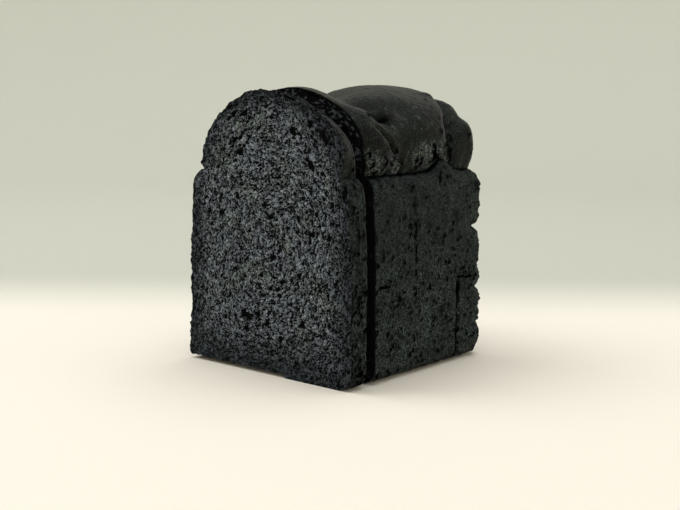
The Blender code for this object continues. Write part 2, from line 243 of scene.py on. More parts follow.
@dataclass(frozen=True)
class LoafForm:
    """The true form of loaf and slice, as cross-sections at each depth."""

    # Lengths from front to rear. The slice is thinner at its crown, where crumb tore away.
    length: float = 125.0
    slice_thickness: float = 13.0
    slice_crown_thickness: float = 5.5
    gap: float = 6.5
    # The tin walls' distance from the middle plane. The right one has a waist, the left one leans in.
    right_half_width: float = 60.2
    left_half_width: float = 61.2
    belly_height: float = 40.0
    waist: float = 2.1
    waist_height: float = 100.0
    left_lean: float = 0.032
    middle_x: float = -0.5
    # The slot at the tin's rim, which peaks near the rear, and how far it lies inside each wall.
    rim: float = 110.5
    rim_peak: float = 7.0
    rim_peak_depth: float = 88.5
    rim_peak_spread: float = 9.5
    shoulder_height: float = 9.0
    right_slot_inset: float = 6.0
    left_slot_inset: float = 9.0
    # Radii of the bottom edges and the rear end, and what breaks up the two flat faces.
    bottom_edge: float = 9.0
    sharp_bottom_edge: float = 2.5
    end_radius_wall: float = 10.0
    end_radius_crown: float = 11.5
    end_slot: float = 0.6
    end_slot_half_height: float = 3.5
    end_wave: float = 0.8
    cut_wave: float = 0.3
    # Heights between which the slice's back is torn thinner.
    tear_start: float = 116.0
    tear_end: float = 148.0
    # Stations along the crown: depth and height.
    crown_heights: tuple[tuple[float, float], ...] = (
        (0.0, 156.0), (9.0, 153.6), (20.0, 156.4), (32.0, 157.2), (55.0, 157.0), (90.0, 158.4),
        (110.0, 158.2), (125.0, 157.0))
    # The dome: where it springs from on each side, how far it reaches and how square it is.
    right_spring: float = 124.0
    left_spring: float = 117.0
    apex_x: float = -2.0
    dome_right: float = 54.6
    dome_left: float = 49.8
    loaf_dome_left: float = 53.5
    cut_pinch: float = 4.0
    cut_pinch_depth: float = 16.0
    cut_pinch_spread: float = 9.0
    front_roundness: float = 1.68
    left_roundness: float = 1.8
    cut_roundness: float = 1.95
    loaf_roundness: float = 2.25
    dome_corner: float = math.radians(42.0)
    # Valleys between the balls of dough: x and depth of their stations, how deep and how wide.
    first_valley: tuple[tuple[float, float], ...] = (
        (-55.0, 62.0), (-20.0, 66.0), (0.0, 57.0), (14.0, 45.0), (28.0, 39.0), (42.0, 50.0),
        (55.0, 51.0))
    first_valley_deep: float = 5.5
    first_valley_width: float = 13.0
    second_crease: tuple[tuple[float, float], ...] = (
        (-55.0, 98.0), (-38.0, 109.0), (-10.0, 119.0), (20.0, 118.0), (33.0, 110.5), (44.0, 105.0),
        (48.0, 101.0), (55.0, 96.0))
    second_crease_deep: float = 4.5
    second_crease_width: float = 4.0
    # Rear corners. Wrinkles: height and how deep. Bulges: height, spread and how far out.
    corner_wrinkles: tuple[tuple[float, float], ...] = (
        (77.0, 3.2), (54.0, 1.3), (41.0, 1.8), (19.5, 1.0))
    wrinkle_half_height: float = 1.8
    wrinkle_on_end: float = 0.6
    corner_shares: tuple[float, float] = (0.4, 0.75)
    corner_bulges: tuple[tuple[float, float, float], ...] = (
        (100.0, 9.0, 1.2), (12.0, 7.0, 1.4), (32.0, 5.0, 0.6))
    # Grooves, creases and cracks: depth and height of both ends, half the width and how deep.
    wall_grooves: tuple[Groove, ...] = (
        Groove((56.0, 101.0), (57.0, 39.0), 1.6, 1.3), Groove((97.0, 52.0), (97.0, 5.0), 1.2, 2.6),
        Groove((39.5, 110.0), (53.0, 102.0), 1.5, 1.2), Groove((77.0, 108.0), (83.0, 84.0), 3.0, 0.9),
        Groove((107.0, 66.0), (118.0, 77.0), 1.5, 1.6))
    flank_creases: tuple[Groove, ...] = (
        Groove((34.0, 137.0), (41.0, 128.0), 1.8, 2.0), Groove((41.0, 128.0), (51.0, 117.0), 1.8, 2.4),
        Groove((51.0, 117.0), (50.5, 110.0), 1.6, 3.0), Groove((33.0, 121.0), (38.0, 110.0), 1.4, 2.4),
        Groove((17.0, 126.5), (32.0, 122.5), 1.8, 1.6), Groove((101.0, 137.0), (121.0, 144.5), 4.5, 2.6))
    # Dough that burst out above the rim: depth, half the length, height and how far out.
    bursts: tuple[Burst, ...] = (
        Burst(29.0, 9.5, 116.0, 2.8), Burst(44.5, 4.0, 114.5, 2.2), Burst(78.0, 10.0, 121.0, 1.2))
    # Dents of the dome: depth, x, radius and how deep, which is below 0 for a swelling.
    dents: tuple[tuple[float, float, float, float], ...] = (
        (42.0, 44.0, 5.4, 5.0), (48.0, 44.0, 5.0, 1.6), (62.0, 46.0, 9.0, 1.6), (72.0, -34.0, 9.0, 2.0),
        (28.0, -44.0, 7.0, 1.5), (118.0, 32.0, 7.0, 0.8), (107.0, 31.0, 5.0, -1.6))
    wall_cracks: tuple[Groove, ...] = (
        Groove((22.0, 52.1), (31.2, 52.1), 0.7, 1.5), Groove((31.2, 52.1), (33.9, 55.5), 0.7, 1.5),
        Groove((21.4, 69.8), (33.6, 70.9), 0.8, 0.5), Groove((33.6, 70.9), (41.1, 74.5), 0.8, 0.5),
        Groove((41.1, 74.5), (46.9, 79.0), 0.8, 0.5), Groove((44.2, 47.5), (46.7, 48.0), 0.7, 1.2),
        Groove((99.0, 49.6), (110.5, 48.2), 0.9, 1.6), Groove((55.5, 104.0), (57.0, 82.0), 0.8, 0.8),
        Groove((57.0, 82.0), (57.2, 40.0), 0.8, 1.6), Groove((97.4, 49.0), (98.0, 8.0), 1.0, 1.8),
        Groove((96.8, 102.0), (98.1, 70.8), 1.2, 0.6), Groove((36.0, 24.0), (38.0, 17.0), 0.9, 0.8))
    flank_cracks: tuple[Groove, ...] = (
        Groove((33.5, 137.0), (39.0, 129.0), 0.8, 0.8), Groove((39.3, 128.1), (46.7, 123.5), 1.1, 2.6),
        Groove((46.7, 123.5), (51.5, 117.0), 0.8, 0.9), Groove((51.5, 117.0), (51.0, 110.5), 0.9, 1.8),
        Groove((32.0, 122.0), (34.5, 116.7), 0.9, 1.6), Groove((34.5, 116.7), (38.3, 110.0), 0.9, 2.4),
        Groove((99.3, 136.3), (104.6, 138.5), 0.9, 1.2), Groove((98.5, 131.0), (97.5, 112.0), 0.9, 1.2))
    # Painted shade in the middle of the dimple: depth, x and radius.
    dimple_shade: tuple[float, float, float] = (45.5, 42.5, 6.0)
    dome_swell: Ripple = Ripple(0.7, 24.0, 1)
    panel_ripple: Ripple = Ripple(0.5, 11.0, 2)
    wall_ripple: Ripple = Ripple(0.35, 17.0, 3)
    cut_wave_size: float = 16.0
    end_wave_size: float = 20.0
    crack_bend: Ripple = Ripple(2.2, 8.0, 6)
    crack_jitter: Ripple = Ripple(0.9, 3.0, 7)
    crack_fade: Ripple = Ripple(1.5, 6.0, 8)
    crack_strength: float = 0.8
    # Where torn crumb shows above the rim: depth, half the length, height, no bulge, half the height.
    torn_patches: tuple[Burst, ...] = (
        Burst(26.5, 10.0, 116.5, 0.0, 9.0), Burst(44.5, 6.5, 115.0, 0.0, 8.5),
        Burst(79.0, 20.0, 120.0, 0.0, 10.0))
    curve_samples: int = 90

    @property
    def loaf_start(self) -> float:
        """Depth of the loaf's own cut face."""
        return self.slice_thickness + self.gap

    @property
    def flank_x(self) -> float:
        """Distance from the middle plane at which the dome's flank begins."""
        return 0.6 * self.dome_right

    def wall_x(self, side: Side, height: np.ndarray | float) -> np.ndarray:
        """Distance of a tin wall from the middle plane, before its edges are rounded.

        Args:
            side: Which wall.
            height: Heights on it.

        Returns:
            The distance at each height.
        """
        height = np.asarray(height, float)
        if side is Side.LEFT:
            return self.left_half_width - self.left_lean * height
        rise = np.clip(height - self.belly_height, 0.0, None) / (self.waist_height - self.belly_height)
        return self.right_half_width - self.waist * rise ** 2

    def rim_height(self, depth: float | np.ndarray) -> float | np.ndarray:
        """Height of the slot between tin wall and dome at a depth."""
        return self.rim + self.rim_peak * bell(depth, self.rim_peak_depth, self.rim_peak_spread)

    def bottom_radius(self, side: Side, depth: float) -> float:
        """Radius of a bottom edge, which is sharp at the front left, where it was torn.

        Args:
            side: Which wall's edge.
            depth: The section's depth.

        Returns:
            The radius there.
        """
        if side is Side.RIGHT:
            return self.bottom_edge
        grown = float(smoothstep(0.0, 2.0 * self.loaf_start, depth))
        return self.sharp_bottom_edge + (self.bottom_edge - self.sharp_bottom_edge) * grown

    def slot_inset(self, side: Side) -> float:
        """How far the slot under the dome lies inside the wall of a side."""
        return self.right_slot_inset if side is Side.RIGHT else self.left_slot_inset

    def wall_curve(self, side: Side, depth: float) -> np.ndarray:
        """One wall, from the middle of the bottom edge up to the slot.

        Args:
            side: Which wall.
            depth: The section's depth.

        Returns:
            The (x, z) points.
        """
        radius = self.bottom_radius(side, depth)
        rim = float(self.rim_height(depth))
        low = np.linspace(math.pi / 4.0, 0.0, self.curve_samples)
        low_z = radius * (1.0 - np.sin(low))
        low_x = self.wall_x(side, low_z) - radius * (1.0 - np.cos(low))
        mid_z = np.linspace(radius, rim - self.shoulder_height, self.curve_samples)[1:-1]
        top = np.linspace(0.0, math.pi / 2.0, self.curve_samples)
        top_z = rim - self.shoulder_height * (1.0 - np.sin(top))
        top_x = self.wall_x(side, top_z) - self.slot_inset(side) * (1.0 - np.cos(top))
        x = np.concatenate((low_x, self.wall_x(side, mid_z), top_x))
        z = np.concatenate((low_z, mid_z, top_z))
        return np.stack((side.value * x, z), axis=1)

    def base_curve(self, depth: float) -> np.ndarray:
        """The base, from the left bottom edge to the right one.

        Args:
            depth: The section's depth.

        Returns:
            The (x, z) points.
        """
        halves = []
        for side in Side:
            radius = self.bottom_radius(side, depth)
            angle = np.linspace(math.pi / 4.0, math.pi / 2.0, self.curve_samples)
            z = radius * (1.0 - np.sin(angle))
            x = self.wall_x(side, z) - radius * (1.0 - np.cos(angle))
            halves.append(np.stack((side.value * x, z), axis=1))
        return np.concatenate((halves[0], halves[1][::-1]))

    def dome_curves(self, side: Side, depth: float) -> tuple[np.ndarray, np.ndarray]:
        """Half of the dome.

        Args:
            side: Which half.
            depth: The section's depth.

        Returns:
            The (x, z) points from the slot to the corner, and those from the corner to the apex.
        """
        rim = float(self.rim_height(depth))
        inside = float(smoothstep(0.0, self.loaf_start, depth))
        full = float(smoothstep(self.loaf_start, 3.0 * self.loaf_start, depth))
        slot_x = float(self.wall_x(side, rim)) - self.slot_inset(side)
        if side is Side.RIGHT:
            spring = self.right_spring
            pinch = float(bell(depth, self.cut_pinch_depth, self.cut_pinch_spread))
            reach = self.dome_right - self.cut_pinch * pinch
            roundness = self.front_roundness
        else:
            spring = self.left_spring + (self.right_spring - self.left_spring) * full
            reach = self.dome_left + (self.loaf_dome_left - self.dome_left) * full
            roundness = self.left_roundness
        roundness += (self.cut_roundness - roundness) * inside
        roundness += (self.loaf_roundness - self.cut_roundness) * full
        t = np.linspace(0.0, 1.0, self.curve_samples)
        under_x = reach - (reach - slot_x) * (1.0 - t) ** 2
        under_z = rim + (spring - rim) * t
        low = np.linspace(0.0, self.dome_corner, self.curve_samples)[1:]
        high = np.linspace(self.dome_corner, math.pi / 2.0, self.curve_samples)
        angle = np.concatenate((low, high))
        crown = float(through(self.crown_heights, depth))
        apex = side.value * self.apex_x
        over_x = apex + (reach - apex) * np.cos(angle).clip(0.0) ** (2.0 / roundness)
        over_z = spring + (crown - spring) * np.sin(angle) ** (2.0 / roundness)
        over = np.stack((side.value * over_x, over_z), axis=1)
        under = np.stack((side.value * under_x, under_z), axis=1)
        return np.concatenate((under, over[:len(low)])), over[len(low):]

    def dome_relief(self, x: np.ndarray, depth: float, z: np.ndarray) -> np.ndarray:
        """How far the dome stands out, from its valleys, dents, creases and torn bursts.

        Args:
            x: Places across the loaf.
            depth: The section's depth.
            z: Heights.

        Returns:
            The distance outward at each point.
        """
        on_dome = smoothstep(self.rim, self.right_spring, z)
        on_flank = smoothstep(self.flank_x, 0.9 * self.dome_right, np.abs(x))
        behind_cut = smoothstep(self.loaf_start, 1.6 * self.loaf_start, depth)
        first = np.abs(depth - through(self.first_valley, x)) / self.first_valley_width
        second = np.abs(depth - through(self.second_crease, x)) / self.second_crease_width
        out = -self.first_valley_deep * np.exp(-first ** 1.5) * (1.0 - 0.6 * on_flank) * behind_cut
        out = out - self.second_crease_deep * np.exp(-second)
        for dent_depth, dent_x, radius, deep in self.dents:
            out = out - deep * bell(np.hypot(depth - dent_depth, x - dent_x), 0.0, radius)
        out = out * on_dome + self.dome_swell.at(x, depth, z) * on_dome
        for crease in self.flank_creases:
            out = out - crease.deep * on_flank * crease.nearness(depth, z)
        for burst in self.bursts:
            out = out + burst.bulge * burst.dome(depth, z) * (np.abs(x) > self.flank_x)
        return out

    def wall_relief(self, x: np.ndarray, depth: float, z: np.ndarray) -> np.ndarray:
        """How far a tin wall stands out, from its panels, grooves and corner wrinkles.

        Args:
            x: Places across the loaf.
            depth: The section's depth.
            z: Heights.

        Returns:
            The distance outward at each point.
        """
        on_wall = smoothstep(0.0, self.bottom_edge, z) * (1.0 - smoothstep(self.rim - 4.0, self.rim, z))
        out = self.panel_ripple.at(x, depth, z / 3.0) + self.wall_ripple.at(x, depth, z)
        mirrored = np.where(x > 0.0, depth, self.length + self.loaf_start - depth)
        for line in self.wall_grooves:
            out = out - line.deep * line.nearness(mirrored, z)
        near_end = smoothstep(self.length - 20.0, self.length - 6.0, depth)
        for height, deep in self.corner_wrinkles:
            out = out - deep * near_end * bell(z, height, self.wrinkle_half_height)
        for height, spread, bulge in self.corner_bulges:
            out = out + bulge * near_end * bell(z, height, spread)
        return out * on_wall

    def cracks(self, x: np.ndarray, depth: np.ndarray, z: np.ndarray) -> np.ndarray:
        """How deep the fine cracks of walls and flanks cut in. They wander and come and go.

        Args:
            x: Places across the loaf.
            depth: Their depths.
            z: Their heights.

        Returns:
            The distance inward at each point.
        """
        on_side = smoothstep(self.flank_x, 0.85 * self.dome_right, np.abs(x))
        across = depth + self.crack_bend.at(x, depth, z) + self.crack_jitter.at(x, depth, z)
        mirrored = np.where(x > 0.0, across, self.length + self.loaf_start - across)
        cut = np.zeros(np.shape(x))
        up = z + 0.7 * (across - depth)
        for crack in self.wall_cracks:
            cut = np.maximum(cut, crack.deep * crack.nearness(mirrored, up))
        for crack in self.flank_cracks:
            cut = np.maximum(cut, crack.deep * crack.nearness(across, z))
        fade = np.clip(self.crack_strength + self.crack_fade.at(x, depth, z), 0.15, 1.2)
        return cut * on_side * fade

    def end_inset(self, depth: float, z: np.ndarray) -> np.ndarray:
        """How far a section has drawn in, to round the rear end.

        Args:
            depth: The section's depth.
            z: Heights.

        Returns:
            The distance inward at each height.
        """
        high = smoothstep(self.rim, self.rim + 45.0, z)
        radius = self.end_radius_wall + (self.end_radius_crown - self.end_radius_wall) * high
        into = np.clip((depth - self.length + radius) / radius, 0.0, 1.0)
        return radius * (1.0 - np.sqrt(1.0 - into ** 2))

    def cut_face(self, x: np.ndarray, z: np.ndarray) -> np.ndarray:
        """The slice's front: a knife's slightly uneven cut, as an offset in depth."""
        inside = smoothstep(0.0, 12.0, self.right_half_width - np.abs(x)) * smoothstep(0.0, 10.0, z)
        return self.cut_wave * (1.0 + wobble(x, np.zeros_like(x), z, self.cut_wave_size, 4)) * inside

    def slice_back(self, z: np.ndarray) -> np.ndarray:
        """The slice's back at each height: it thins towards the crown, where crumb tore away."""
        thinner = self.slice_thickness - self.slice_crown_thickness
        return -thinner * smoothstep(self.tear_start, self.tear_end, z)

    def loaf_end(self, x: np.ndarray, z: np.ndarray) -> np.ndarray:
        """The rear end: pressed flat by the tin, with a slot at rim height and wrinkled corners.

        Args:
            x: Places across the loaf.
            z: Heights.

        Returns:
            The offset in depth at each point.
        """
        inside = smoothstep(0.0, 20.0, self.right_half_width - np.abs(x)) * smoothstep(0.0, 12.0, z)
        corner = smoothstep(*self.corner_shares, np.abs(x) / self.right_half_width)
        wave = wobble(x, np.zeros_like(x), z, self.end_wave_size, 5) - 1.0
        offset = self.end_wave * wave * inside
        offset = offset - self.end_slot * bell(z, self.rim + 1.0, self.end_slot_half_height)
        for height, deep in self.corner_wrinkles:
            wrinkle = self.wrinkle_on_end * deep * bell(z, height, self.wrinkle_half_height)
            offset = offset - wrinkle * corner
        return offset


def resample(curve: np.ndarray, fractions: np.ndarray) -> np.ndarray:
    """Points at fractions of a curve's length.

    Args:
        curve: The curve's (x, z) points.
        fractions: Fractions from 0 to 1.

    Returns:
        The (x, z) points there.
    """
    length = np.concatenate(([0.0], np.cumsum(np.linalg.norm(np.diff(curve, axis=0), axis=1))))
    at = np.asarray(fractions) * length[-1]
    return np.stack([np.interp(at, length, curve[:, axis]) for axis in (0, 1)], axis=1)


def outward(x: np.ndarray, z: np.ndarray, half_width: float = 61.0, middle: float = 72.0,
            half_height: float = 86.0) -> tuple[np.ndarray, np.ndarray]:
    """Smooth outward direction of a section: sideways on the walls, up on the dome.

    Args:
        x: Places across the loaf.
        z: Heights.
        half_width: Half the section's width.
        middle: Height of the section's middle.
        half_height: Half the section's height.

    Returns:
        The direction's x and z at each point.
    """
    nx = (x / half_width) ** 3 / half_width
    nz = ((z - middle) / half_height) ** 3 / half_height
    size = np.hypot(nx, nz) + 1e-12
    return nx / size, nz / size


@dataclass(frozen=True)
class Pores:
    """One size class of open gas cells: how far apart, how wide, how deep and how long."""

    spacing: float
    narrow: float
    wide: float
    deep: float
    stretch: float
    share: float
    seed: int

    def pits(self, u: np.ndarray, v: np.ndarray, angle: np.ndarray, share: np.ndarray) -> np.ndarray:
        """The cells as rounded pits in a surface.

        Args:
            u: Places along the surface, in millimetres.
            v: Places along it the other way.
            angle: Which way the cells are stretched at each place.
            share: How much of this class's own share of cells is open there.

        Returns:
            How far each place is down a cell, from 0 at its rim to 1 at the bottom of the widest.
        """
        column = np.floor(u / self.spacing).astype(np.int64)
        row = np.floor(v / self.spacing).astype(np.int64)
        deepest = np.zeros(np.shape(u))
        for i in (-1, 0, 1):
            for j in (-1, 0, 1):
                c, r = column + i, row + j
                du = u - (c + scatter(c, r, self.seed)) * self.spacing
                dv = v - (r + scatter(c, r, self.seed + 1)) * self.spacing
                along = du * np.cos(angle) + dv * np.sin(angle)
                across = dv * np.cos(angle) - du * np.sin(angle)
                size = scatter(c, r, self.seed + 2) ** 2
                radius = self.narrow + (self.wide - self.narrow) * size
                long = 1.0 + (self.stretch - 1.0) * scatter(c, r, self.seed + 3)
                reach = (along / long) ** 2 + across ** 2
                cap = np.sqrt(np.clip(1.0 - reach / radius ** 2, 0.0, 1.0))
                open_cell = scatter(c, r, self.seed + 4) < self.share * share
                deepest = np.maximum(deepest, radius / self.wide * cap * open_cell)
        return deepest


@dataclass(frozen=True)
class CellNet:
    """Gas cells that fill a cut face and are parted by thin walls."""

    spacing: float
    stretch: float
    wall: float
    deep: float
    closed: float
    seed: int

    def cells(self, u: np.ndarray, v: np.ndarray, angle: np.ndarray) -> np.ndarray:
        """How open the face is.

        Args:
            u: Places along the surface, in millimetres.
            v: Places along it the other way.
            angle: Which way the cells are drawn out at each place.

        Returns:
            0 on the walls and on cells that the knife smeared shut, up to 1 inside an open cell.
        """
        column = np.floor(u / self.spacing).astype(np.int64)
        row = np.floor(v / self.spacing).astype(np.int64)
        nearest = np.full(np.shape(u), np.inf)
        second = nearest.copy()
        gaping = np.zeros(np.shape(u))
        for i in (-2, -1, 0, 1, 2):
            for j in (-2, -1, 0, 1, 2):
                c, r = column + i, row + j
                du = u - (c + scatter(c, r, self.seed)) * self.spacing
                dv = v - (r + scatter(c, r, self.seed + 1)) * self.spacing
                along = (du * np.cos(angle) + dv * np.sin(angle)) / self.stretch
                across = dv * np.cos(angle) - du * np.sin(angle)
                away = np.hypot(along, across) / (0.75 + 0.5 * scatter(c, r, self.seed + 2))
                closer = away < nearest
                second = np.where(closer, nearest, np.minimum(second, away))
                gaping = np.where(closer, scatter(c, r, self.seed + 3), gaping)
                nearest = np.where(closer, away, nearest)
        inside = smoothstep(0.0, 2.0 * self.wall, second - nearest)
        return inside * smoothstep(0.6 * self.closed, 1.4 * self.closed, gaping)


@dataclass(frozen=True)
class CutCrumb:
    """The open crumb of a cut face, with its cells drawn out along the crust."""

    seed: int
    # The finest real cells are about 0.5 mm wide, one pixel in the render, so the finer net is drawn
    # 1.3 mm wide to show as cells at all.
    fine: CellNet = CellNet(1.3, 1.7, 0.2, 0.55, 0.25, 11)
    cells: CellNet = CellNet(2.1, 2.1, 0.36, 0.95, 0.55, 31)
    large: Pores = Pores(9.0, 0.7, 1.6, 2.0, 2.0, 0.25, 51)
    fine_shade: float = 0.85
    drawn_out: float = 0.62
    # The denser rind under the crust, drawn darker partly as painted shade towards the edges, which
    # is wider on the right side and at the base.
    rind: float = 17.0
    rind_wander: float = 3.0
    squeezed_side: float = 0.75
    squeezed_base: float = 0.55
    half_width: float = 60.0
    # The round of the crown, for the distance to its crust.
    crown_base: float = 112.0
    crown_half_width: float = 54.0
    crown_height: float = 44.0
    crown_reach: float = 46.0
    swirl_size: float = 22.0
    swirl_turn: float = 0.8
    patch_size: float = 14.0
    patch_contrast: float = 0.35
    shut_near_crust: float = 0.15
    pore_edge_size: float = 1.8
    pore_raggedness: float = 0.5
    # The large pores that stand out one by one: x, height and radius.
    named: tuple[tuple[float, float, float], ...] = (
        (18.0, 152.0, 2.0), (14.5, 152.8, 1.4), (-17.3, 142.7, 1.9), (-25.0, 142.6, 1.5),
        (-28.5, 140.0, 1.3), (-24.3, 128.5, 1.6), (-20.8, 121.6, 1.8), (30.7, 138.0, 1.5),
        (39.6, 132.9, 1.8), (41.6, 129.6, 1.5), (31.5, 116.7, 1.9), (29.0, 119.6, 1.2),
        (19.0, 133.8, 1.7), (55.9, 105.0, 2.0), (54.6, 102.0, 1.5), (2.8, 87.6, 1.4),
        (-1.6, 93.8, 1.1), (33.1, 80.5, 1.2), (31.0, 76.6, 1.2), (4.5, 65.5, 1.4), (8.0, 48.3, 1.2),
        (11.0, 52.5, 1.3), (2.1, 48.2, 1.0), (23.3, 57.1, 1.2), (-16.4, 31.4, 2.3), (-7.1, 33.0, 1.5),
        (0.1, 28.3, 1.2), (-15.7, 23.7, 1.4), (10.0, 21.8, 1.3), (26.0, 31.2, 1.5))

    def to_crust(self, x: np.ndarray, z: np.ndarray) -> np.ndarray:
        """Distance to the nearest crust, made less where the crumb is squeezed.

        Args:
            x: Places across the loaf.
            z: Heights.

        Returns:
            The distance at each point.
        """
        side = np.where(x > 0.0, self.squeezed_side, 1.0) * (self.half_width - np.abs(x))
        low = self.squeezed_base * z
        above = np.clip(z - self.crown_base, 0.0, None) / self.crown_height
        over = 1.0 - ((x / self.crown_half_width) ** 2 + above ** 2) ** 0.5
        top = np.where(z > self.crown_base, over * self.crown_reach, side)
        return np.minimum(np.minimum(side, low), top).clip(0.0)

    def carve(self, x: np.ndarray, z: np.ndarray) -> tuple[np.ndarray, np.ndarray]:
        """Cut the cells into a face.

        Args:
            x: Places across the loaf.
            z: Heights.

        Returns:
            How deep the face is carved, in millimetres; the painted shade, from 0 on the walls to 1 down a
            cell; and how dense the crumb is, which is also painted as shade towards the crust, from 0 to 1.
        """
        nx, nz = outward(x, z)
        swirl = wobble(x, np.full_like(x, 9.0), z, self.swirl_size, self.seed)
        angle = np.arctan2(nx, -nz) + self.swirl_turn * swirl
        # Denser crumb towards the crust, with painted shade darkening it there too.
        rind_and_shade = 1.0 - smoothstep(1.0, self.rind, self.to_crust(x, z) + self.rind_wander * swirl)
        patches = wobble(x, np.zeros_like(x), z, self.patch_size, self.seed + 1)
        patchy = 0.9 + self.patch_contrast * patches
        fine = self.fine.cells(x, z, angle)
        cells = self.cells.cells(x, z, angle) * (1.0 - self.shut_near_crust * rind_and_shade)
        large = self.large.pits(x, z, angle, (1.0 - rind_and_shade) * patchy)
        edge = wobble(x, np.full_like(x, 3.0), z, self.pore_edge_size, self.seed + 2)
        ragged = 1.0 + self.pore_raggedness * edge
        for pore_x, pore_z, radius in self.named:
            along = (x - pore_x) * np.cos(angle) + (z - pore_z) * np.sin(angle)
            across = (z - pore_z) * np.cos(angle) - (x - pore_x) * np.sin(angle)
            away = np.hypot(self.drawn_out * along, across) * ragged
            large = np.maximum(large, np.sqrt(np.clip(1.0 - (away / radius) ** 2, 0.0, 1.0)))
        carved = self.fine.deep * fine + self.cells.deep * cells
        carved = np.maximum(carved, self.large.deep * large)
        # Painted shade: darker the further down a cell or pore a place lies.
        painted_shade = np.maximum(np.maximum(self.fine_shade * fine, cells), np.clip(2.0 * large, 0.0, 1.0))
        return carved, painted_shade, rind_and_shade


@dataclass(frozen=True)
class CrustGrain:
    """The fine relief of a baked crust: blisters, pits and grain."""

    # The walls' pits, of which there are fewer high up and hardly any on smooth crust.
    pits: Pores = Pores(2.6, 0.5, 1.15, 1.0, 2.1, 0.65, 71)
    pit_slant: float = 0.35
    pit_turn: float = 1.2
    pit_turn_spread: float = 0.8
    few_pits_from: float = 45.0
    few_pits_above: float = 75.0
    pits_lost_high: float = 0.6
    pits_lost_smooth: float = 0.9
    relief_lost_smooth: float = 0.68
    # Real crust is grained in tenths of a millimetre, too fine for the mesh, so its relief is drawn
    # 2.6 mm wide, and the finish adds a finer one.
    grain: Ripple = Ripple(0.42, 2.6, 22)
    lumps: Ripple = Ripple(0.5, 5.5, 23)
    streaks: Ripple = Ripple(0.45, 3.0, 24)
    streak_squash: float = 0.2

    def relief(self, x: np.ndarray, depth: np.ndarray, z: np.ndarray, smooth: np.ndarray) -> np.ndarray:
        """How far the crust stands out from its form.

        Args:
            x: Places across the loaf.
            depth: Depths.
            z: Heights.
            smooth: 1 where the crust is smooth, 0 where it is rough.

        Returns:
            The distance outward, in millimetres.
        """
        high = smoothstep(self.few_pits_from, self.few_pits_above, z)
        rough = (1.0 - self.pits_lost_smooth * smooth) * (1.0 - self.pits_lost_high * high)
        turn = self.pit_turn + self.pit_turn_spread * wobble(x, depth, z, 15.0, 21)
        pitted = self.pits.deep * self.pits.pits(depth + self.pit_slant * x, z, turn, rough)
        fine = self.grain.at(x, depth, z) + self.lumps.at(x, depth, 0.7 * z)
        fine = fine + high * self.streaks.at(x, depth, self.streak_squash * z)
        return fine * (1.0 - self.relief_lost_smooth * smooth) - pitted


